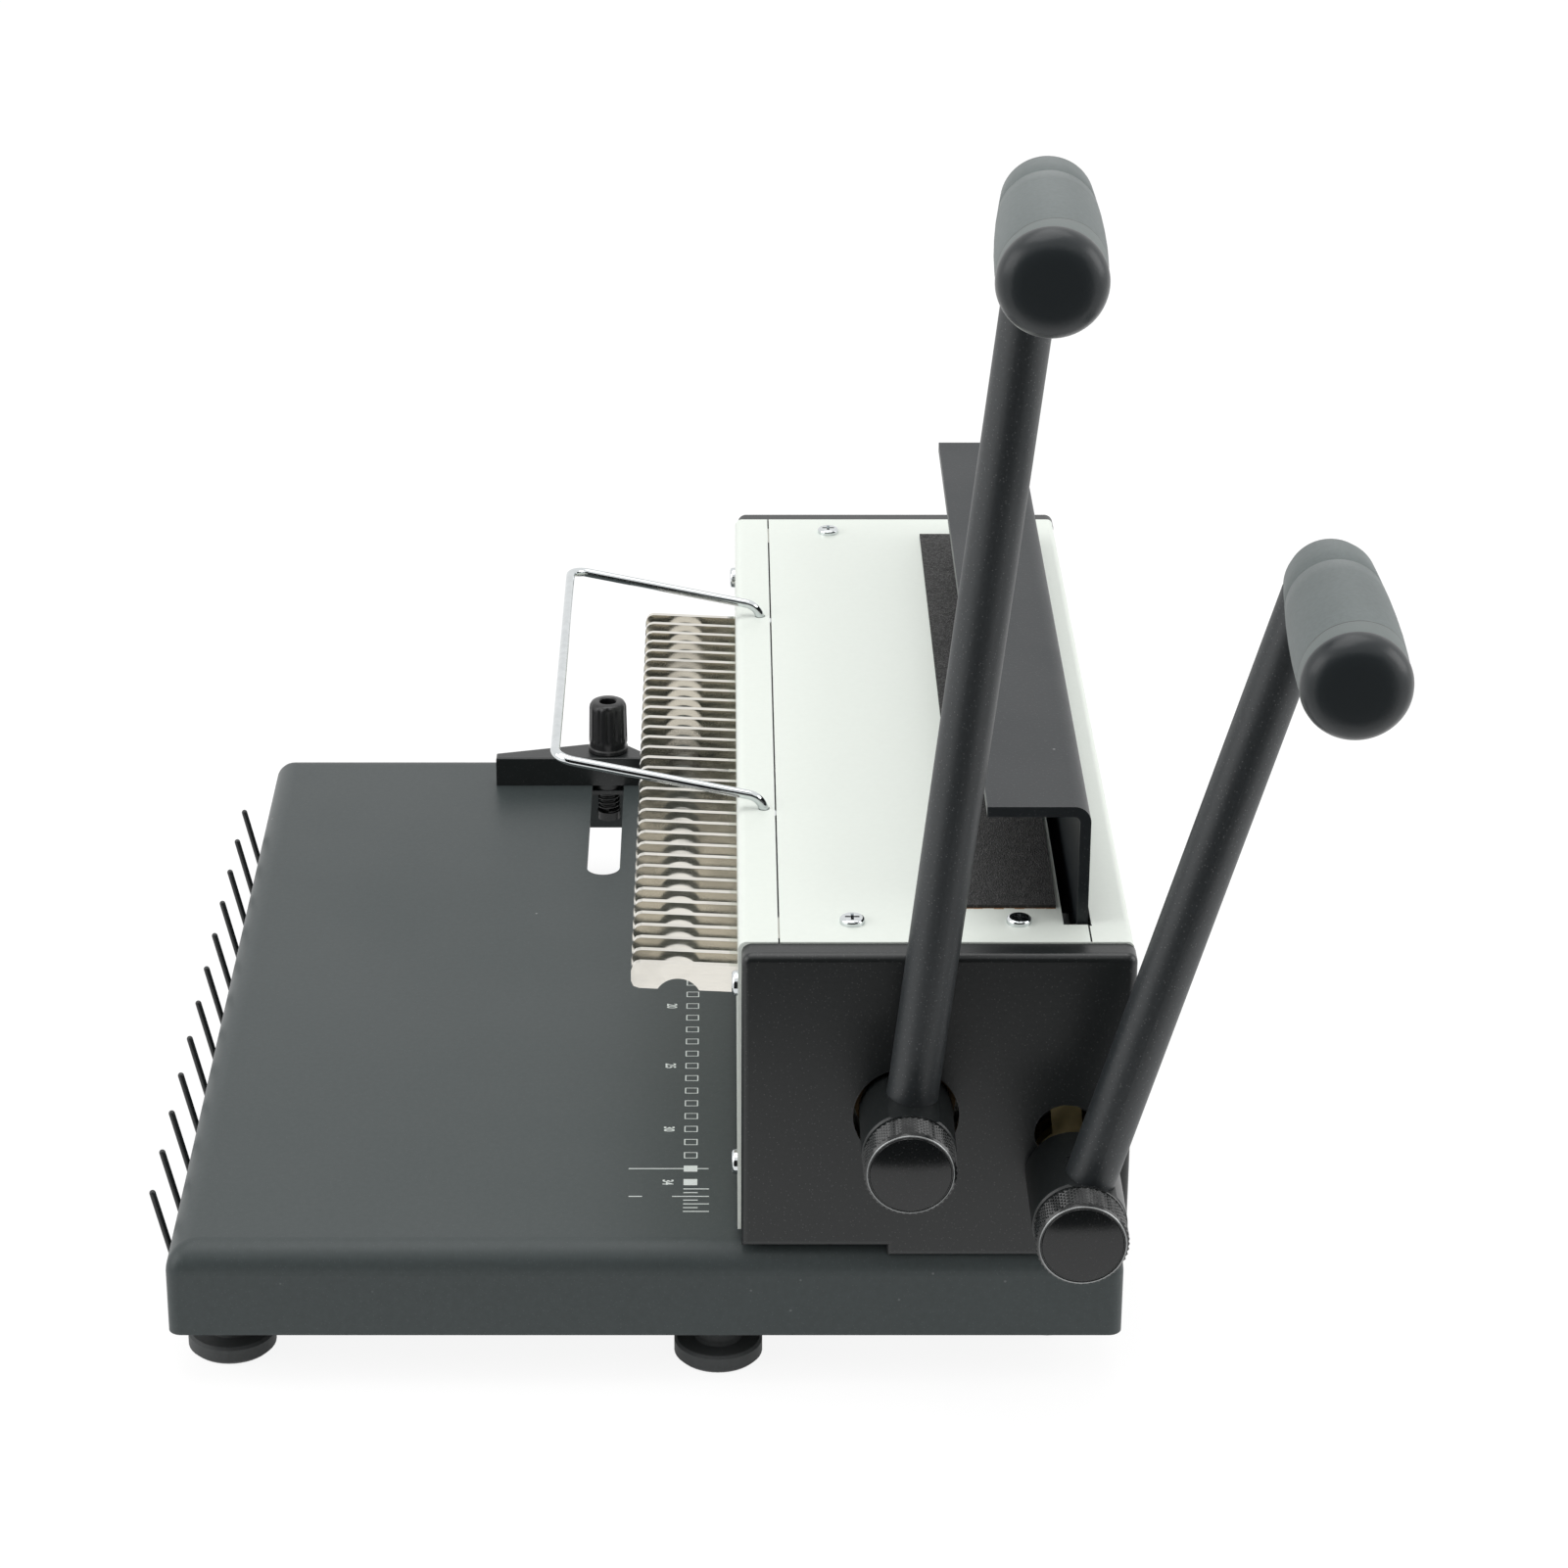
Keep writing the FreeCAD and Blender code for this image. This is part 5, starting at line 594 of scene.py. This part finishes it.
def clamp_knob(name, start, centre, solid, body):
    """A knurled knob from its rear ring to its front face; start is the rear face's x."""
    last = BAND + KNURL_PITCH * KNURL_ROWS
    outline = [(0, 4.5), (0, 12.8), (0.35, KNOB_RADIUS), (1.0, KNOB_RADIUS), (1.15, KNOB_RADIUS - 0.35)]
    outline += [(BAND + KNURL_PITCH * row, KNOB_RADIUS - 0.05) for row in range(KNURL_ROWS + 1)]
    outline += [(last + 0.15, KNOB_RADIUS - 0.5), (last + 0.9, 12.6), (last + 1.05, 12.45),
                (last + 1.05, 12.22), (last + 0.75, 12.05), (last + 0.75, 11.75), (last + 1.0, 11.55),
                (last + 1.35, 9.0), (last + 1.6, 6.0), (last + 1.75, 3.0), (last + 1.8, 0.0)]
    work = turned(outline, KNURL_STEPS)
    low_points = []
    for point in work.verts:
        row = (point.co.x * 1000 - BAND) / KNURL_PITCH
        if not (-0.1 < row < KNURL_ROWS + 0.1 and point.co.yz.length > 0.0133):
            continue
        turn = math.atan2(point.co.z, point.co.y) / (2 * math.pi) * KNURL_STEPS
        if (round(row) + round(turn)) % 2:
            push_in(point, KNURL_DEEP)
            low_points.append(point)
    bmesh.ops.connect_verts(work, verts=low_points)
    for face in work.faces:
        middle = face.calc_center_median()
        face.smooth = not BAND < middle.x * 1000 < last
        if middle.x * 1000 > last + 0.96 and 0.0122 < middle.yz.length < 0.0126:
            face.material_index = 1
    set_down(work, at(start, *centre))
    knob = finished(work, name, [knob_black, rubbed], body)
    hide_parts(solid)


PUNCH_AXIS, CLOSING_AXIS = (53.5, 91.4), (102.4, 73.7)
clamp_knob("punch_knurled_knob", 205.9, PUNCH_AXIS, "punch_clamp_knob", "punch_knob")
clamp_knob("closing_knurled_knob", 215.1, CLOSING_AXIS, "closing_clamp_knob", "closing_knob")

# %% [markdown]
# ## Soft grips
# A sleeve of foam rubber covers each crossbar. It swells a little in the middle and tapers towards its
# inner end, where a seam shows faintly. A moulded cap with a round shoulder closes the outer end and laps
# over the sleeve by a small lip. Both are turned about the crossbar, which stands slightly askew. The cap
# is coloured near-black as painted shade, for it faces away from the lamps, and the sleeve's pale tone is
# partly painted top light.

# %% Grips
GRIP = [(0, 0), (0.05, 4), (0.2, 7.4), (0.75, 10.1), (1.9, 12.3), (3.4, 13.65), (5.2, 14.45), (6.8, 14.7),
        (7.3, 14.68), (7.45, 14.5), (7.5, 14.1), (7.8, 14.05), (8.1, 14.35), (9.5, 14.5), (18, 14.7),
        (30, 14.8), (42, 14.6), (54, 14.2), (62.3, 13.75), (62.6, 13.55), (62.9, 13.7), (72, 13.2),
        (80, 12.7), (84, 11.6), (86, 9.4), (86.4, 7.6), (86.4, 6.2)]


def soft_grip(name, outer, inner, material, solids, body):
    outer, inner = at(*outer), at(*inner)
    work = turned(GRIP, 96)
    set_down(work, outer, inner - outer)
    grip = finished(work, name, [material], body)
    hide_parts(*solids)


soft_grip("punch_soft_grip", (248.43, 83.45, 363.86), (162.03, 87.65, 363.39), punch_sleeve,
          ("punch_grip_sleeve", "punch_grip_collar"), "punch_lever")
soft_grip("closing_soft_grip", (284.47, 161.71, 267.85), (198.00, 164.69, 266.98), closing_sleeve,
          ("closing_grip_sleeve", "closing_grip_collar"), "closing_lever")

# %% [markdown]
# ## Fluted guide knob
# The clamping knob of the edge guide is a tall moulded cap with fine upright flutes and a round hole in
# its top. The flutes are pressed into the even net of a turned body.

# %% Guide knob
GUIDE_KNOB, FLUTES = (-165.2, -42.05), 14


def guide_knob():
    rise = [4.5 + 1.4 * step for step in range(10)]
    outline = [(0, 3.0), (0, 6.9), (0.3, 7.2), (1.4, 7.2), (1.9, 6.8), (2.9, 6.8), (3.6, 7.0)]
    outline += [(along, 7.1 - 0.02 * along) for along in rise]
    outline += [(18.0, 6.6), (18.9, 6.0), (19.3, 5.2), (19.35, 3.5), (19.0, 3.05), (12.0, 3.0)]
    work = turned(outline, FLUTES * 4)
    for point in work.verts:
        turn = math.atan2(point.co.z, point.co.y) / (2 * math.pi) * FLUTES
        if 4.4 < point.co.x * 1000 < 18.1 and point.co.yz.length > 0.0062 and abs(turn % 1 - 0.5) < 0.2:
            push_in(point, 0.4)
    set_down(work, at(*GUIDE_KNOB, DECK + 11.1), (0, 0, 1))
    knob = finished(work, "fluted_guide_knob", [moulded_black], "guide_knob")
    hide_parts("edge_guide_knob")


guide_knob()

# %% [markdown]
# ## Bare edge of the hub hole
# The front lever's hub turns in a hole in the side cover. The hole was cut after the sheet was bent and
# its edge is bare metal, which glints to the left and right of the hub.

# %% Bare ring
HOLE_RADIUS = 15.5
bare_cut = metal("bare_cut_edge", (0.82, 0.83, 0.82), 0.24, (900.0, 900.0, 900.0), 0.3)
bare = turned([(0, HOLE_RADIUS - 0.02), (1.6, HOLE_RADIUS - 0.04), (2.05, HOLE_RADIUS + 0.25)], 96)
set_down(bare, at(179.4, *PUNCH_AXIS))
finished(bare, "hub_hole_edge", [bare_cut], "machine")

# %% [markdown]
# ## Seam of the top cover
# Behind the jaw's slot the top sheet meets the sheet of the back. The two edges lie close together and
# show as one thin dark line from the slot to the side cover. A narrow shadow-dark strip lies on the
# joint, with a short turn at the slot where the sheet's corner is.

# %% Dark seam
SEAM_Y, SEAM_WIDE, SLOT_END, COVER_FACE, ROOF = 106.5, 0.5, 162.0, 173.4, DECK + 98.0
gap_dark = painted("seam_shadow", (0.012, 0.013, 0.013), 0.8, (0.02, 0.02, 0.02), edges=0.0, specks=0.0,
                   specular=0.1)
seam = bmesh.new()
flat_bar(seam, SLOT_END, COVER_FACE, SEAM_Y - SEAM_WIDE / 2, SEAM_Y + SEAM_WIDE / 2, ROOF + 0.02)
flat_bar(seam, SLOT_END, SLOT_END + 0.8, SEAM_Y, SEAM_Y + 0.9, ROOF + 0.02)
finished(seam, "top_cover_seam", [gap_dark], "machine")

# %% [markdown]
# ## Backing of the grit strip
# The strip was cut from a roll with shears. Its tan paper backing stands out a little past the grit at
# the near end, as a thin uneven line.

# %% Tan backing edge
STRIP_END, STRIP_FRONT, STRIP_REAR, STEPS = 150.8, 70.3, 97.7, 9
tan_paper = painted("tan_backing", (0.36, 0.20, 0.10), 0.8, (0.5, 0.35, 0.2), peel=2500.0, cloud=0.6,
                    grains=0.5, edges=0.0, specks=0.0, specular=0.2, mottle=0.3)
backing = bmesh.new()
for step in range(STEPS):
    low_y = STRIP_FRONT + (STRIP_REAR - STRIP_FRONT) * step / STEPS
    high_y = STRIP_FRONT + (STRIP_REAR - STRIP_FRONT) * (step + 0.97) / STEPS
    stands_out = 0.55 + 0.25 * math.sin(2.7 * step)
    flat_bar(backing, STRIP_END, STRIP_END + stands_out, low_y, high_y, ROOF + 0.03)
finished(backing, "grit_backing_edge", [tan_paper], "machine")

# %% [markdown]
# ## Table and dark card
# A wide pale table carries the machine. The camera sees it almost white, with the machine's soft shadow.
# It ends a hand's width in front of the levers, where the studio is dark. A black card stands there. It
# shows only in reflections, as photographers use one to give chrome and gloss their dark lines.


# %% Pale table, black card
def stage_sheet(name, wide, high, place, turn):
    """A flat sheet of the studio: half its sides, its middle and its turn about Y."""
    work = bmesh.new()
    made = bmesh.ops.create_grid(work, x_segments=2, y_segments=2, size=1.0)
    bmesh.ops.scale(work, vec=(wide, high, 1), verts=made["verts"])
    bmesh.ops.rotate(work, verts=made["verts"], matrix=Matrix.Rotation(math.radians(turn), 3, "Y"))
    bmesh.ops.translate(work, vec=place, verts=made["verts"])
    mesh = bpy.data.meshes.new(name)
    work.to_mesh(mesh)
    work.free()
    thing = bpy.data.objects.new(name, mesh)
    scene.collection.objects.link(thing)
    thing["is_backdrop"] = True
    return thing


FLOOR_FRONT = 0.37
floor = stage_sheet("pale_floor", 2.2, 4.0, (FLOOR_FRONT - 2.2, 0, 0), 0)
card = stage_sheet("black_card", 1.0, 1.1, (1.3, 0, 0.1), 90)
card.visible_camera = card.visible_diffuse = card.visible_shadow = False
material, tree, shader = new_material("black_card")
shader.inputs["Base Color"].default_value = tone(0.02)
shader.inputs["Roughness"].default_value = 1.0
shader.inputs["Specular IOR Level"].default_value = 0.0
card.data.materials.append(material)
material, tree, shader = new_material("pale_floor")
shader.inputs["Base Color"].default_value = tone(0.82)
shader.inputs["Roughness"].default_value = 0.9
lit = add(tree, "Emission", None, Color=tone(1.0), Strength=1.12)
share = math_node(tree, "MULTIPLY", looked_at(tree), 0.8)
blend = add(tree, "MixShader", None, Fac=share, _1=shader.outputs[0], _2=lit.outputs[0])
out = next(n for n in tree.nodes if n.type == "OUTPUT_MATERIAL")
tree.links.new(blend.outputs[0], out.inputs["Surface"])
floor.data.materials.append(material)

# %% Bounds of what renders
low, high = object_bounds()
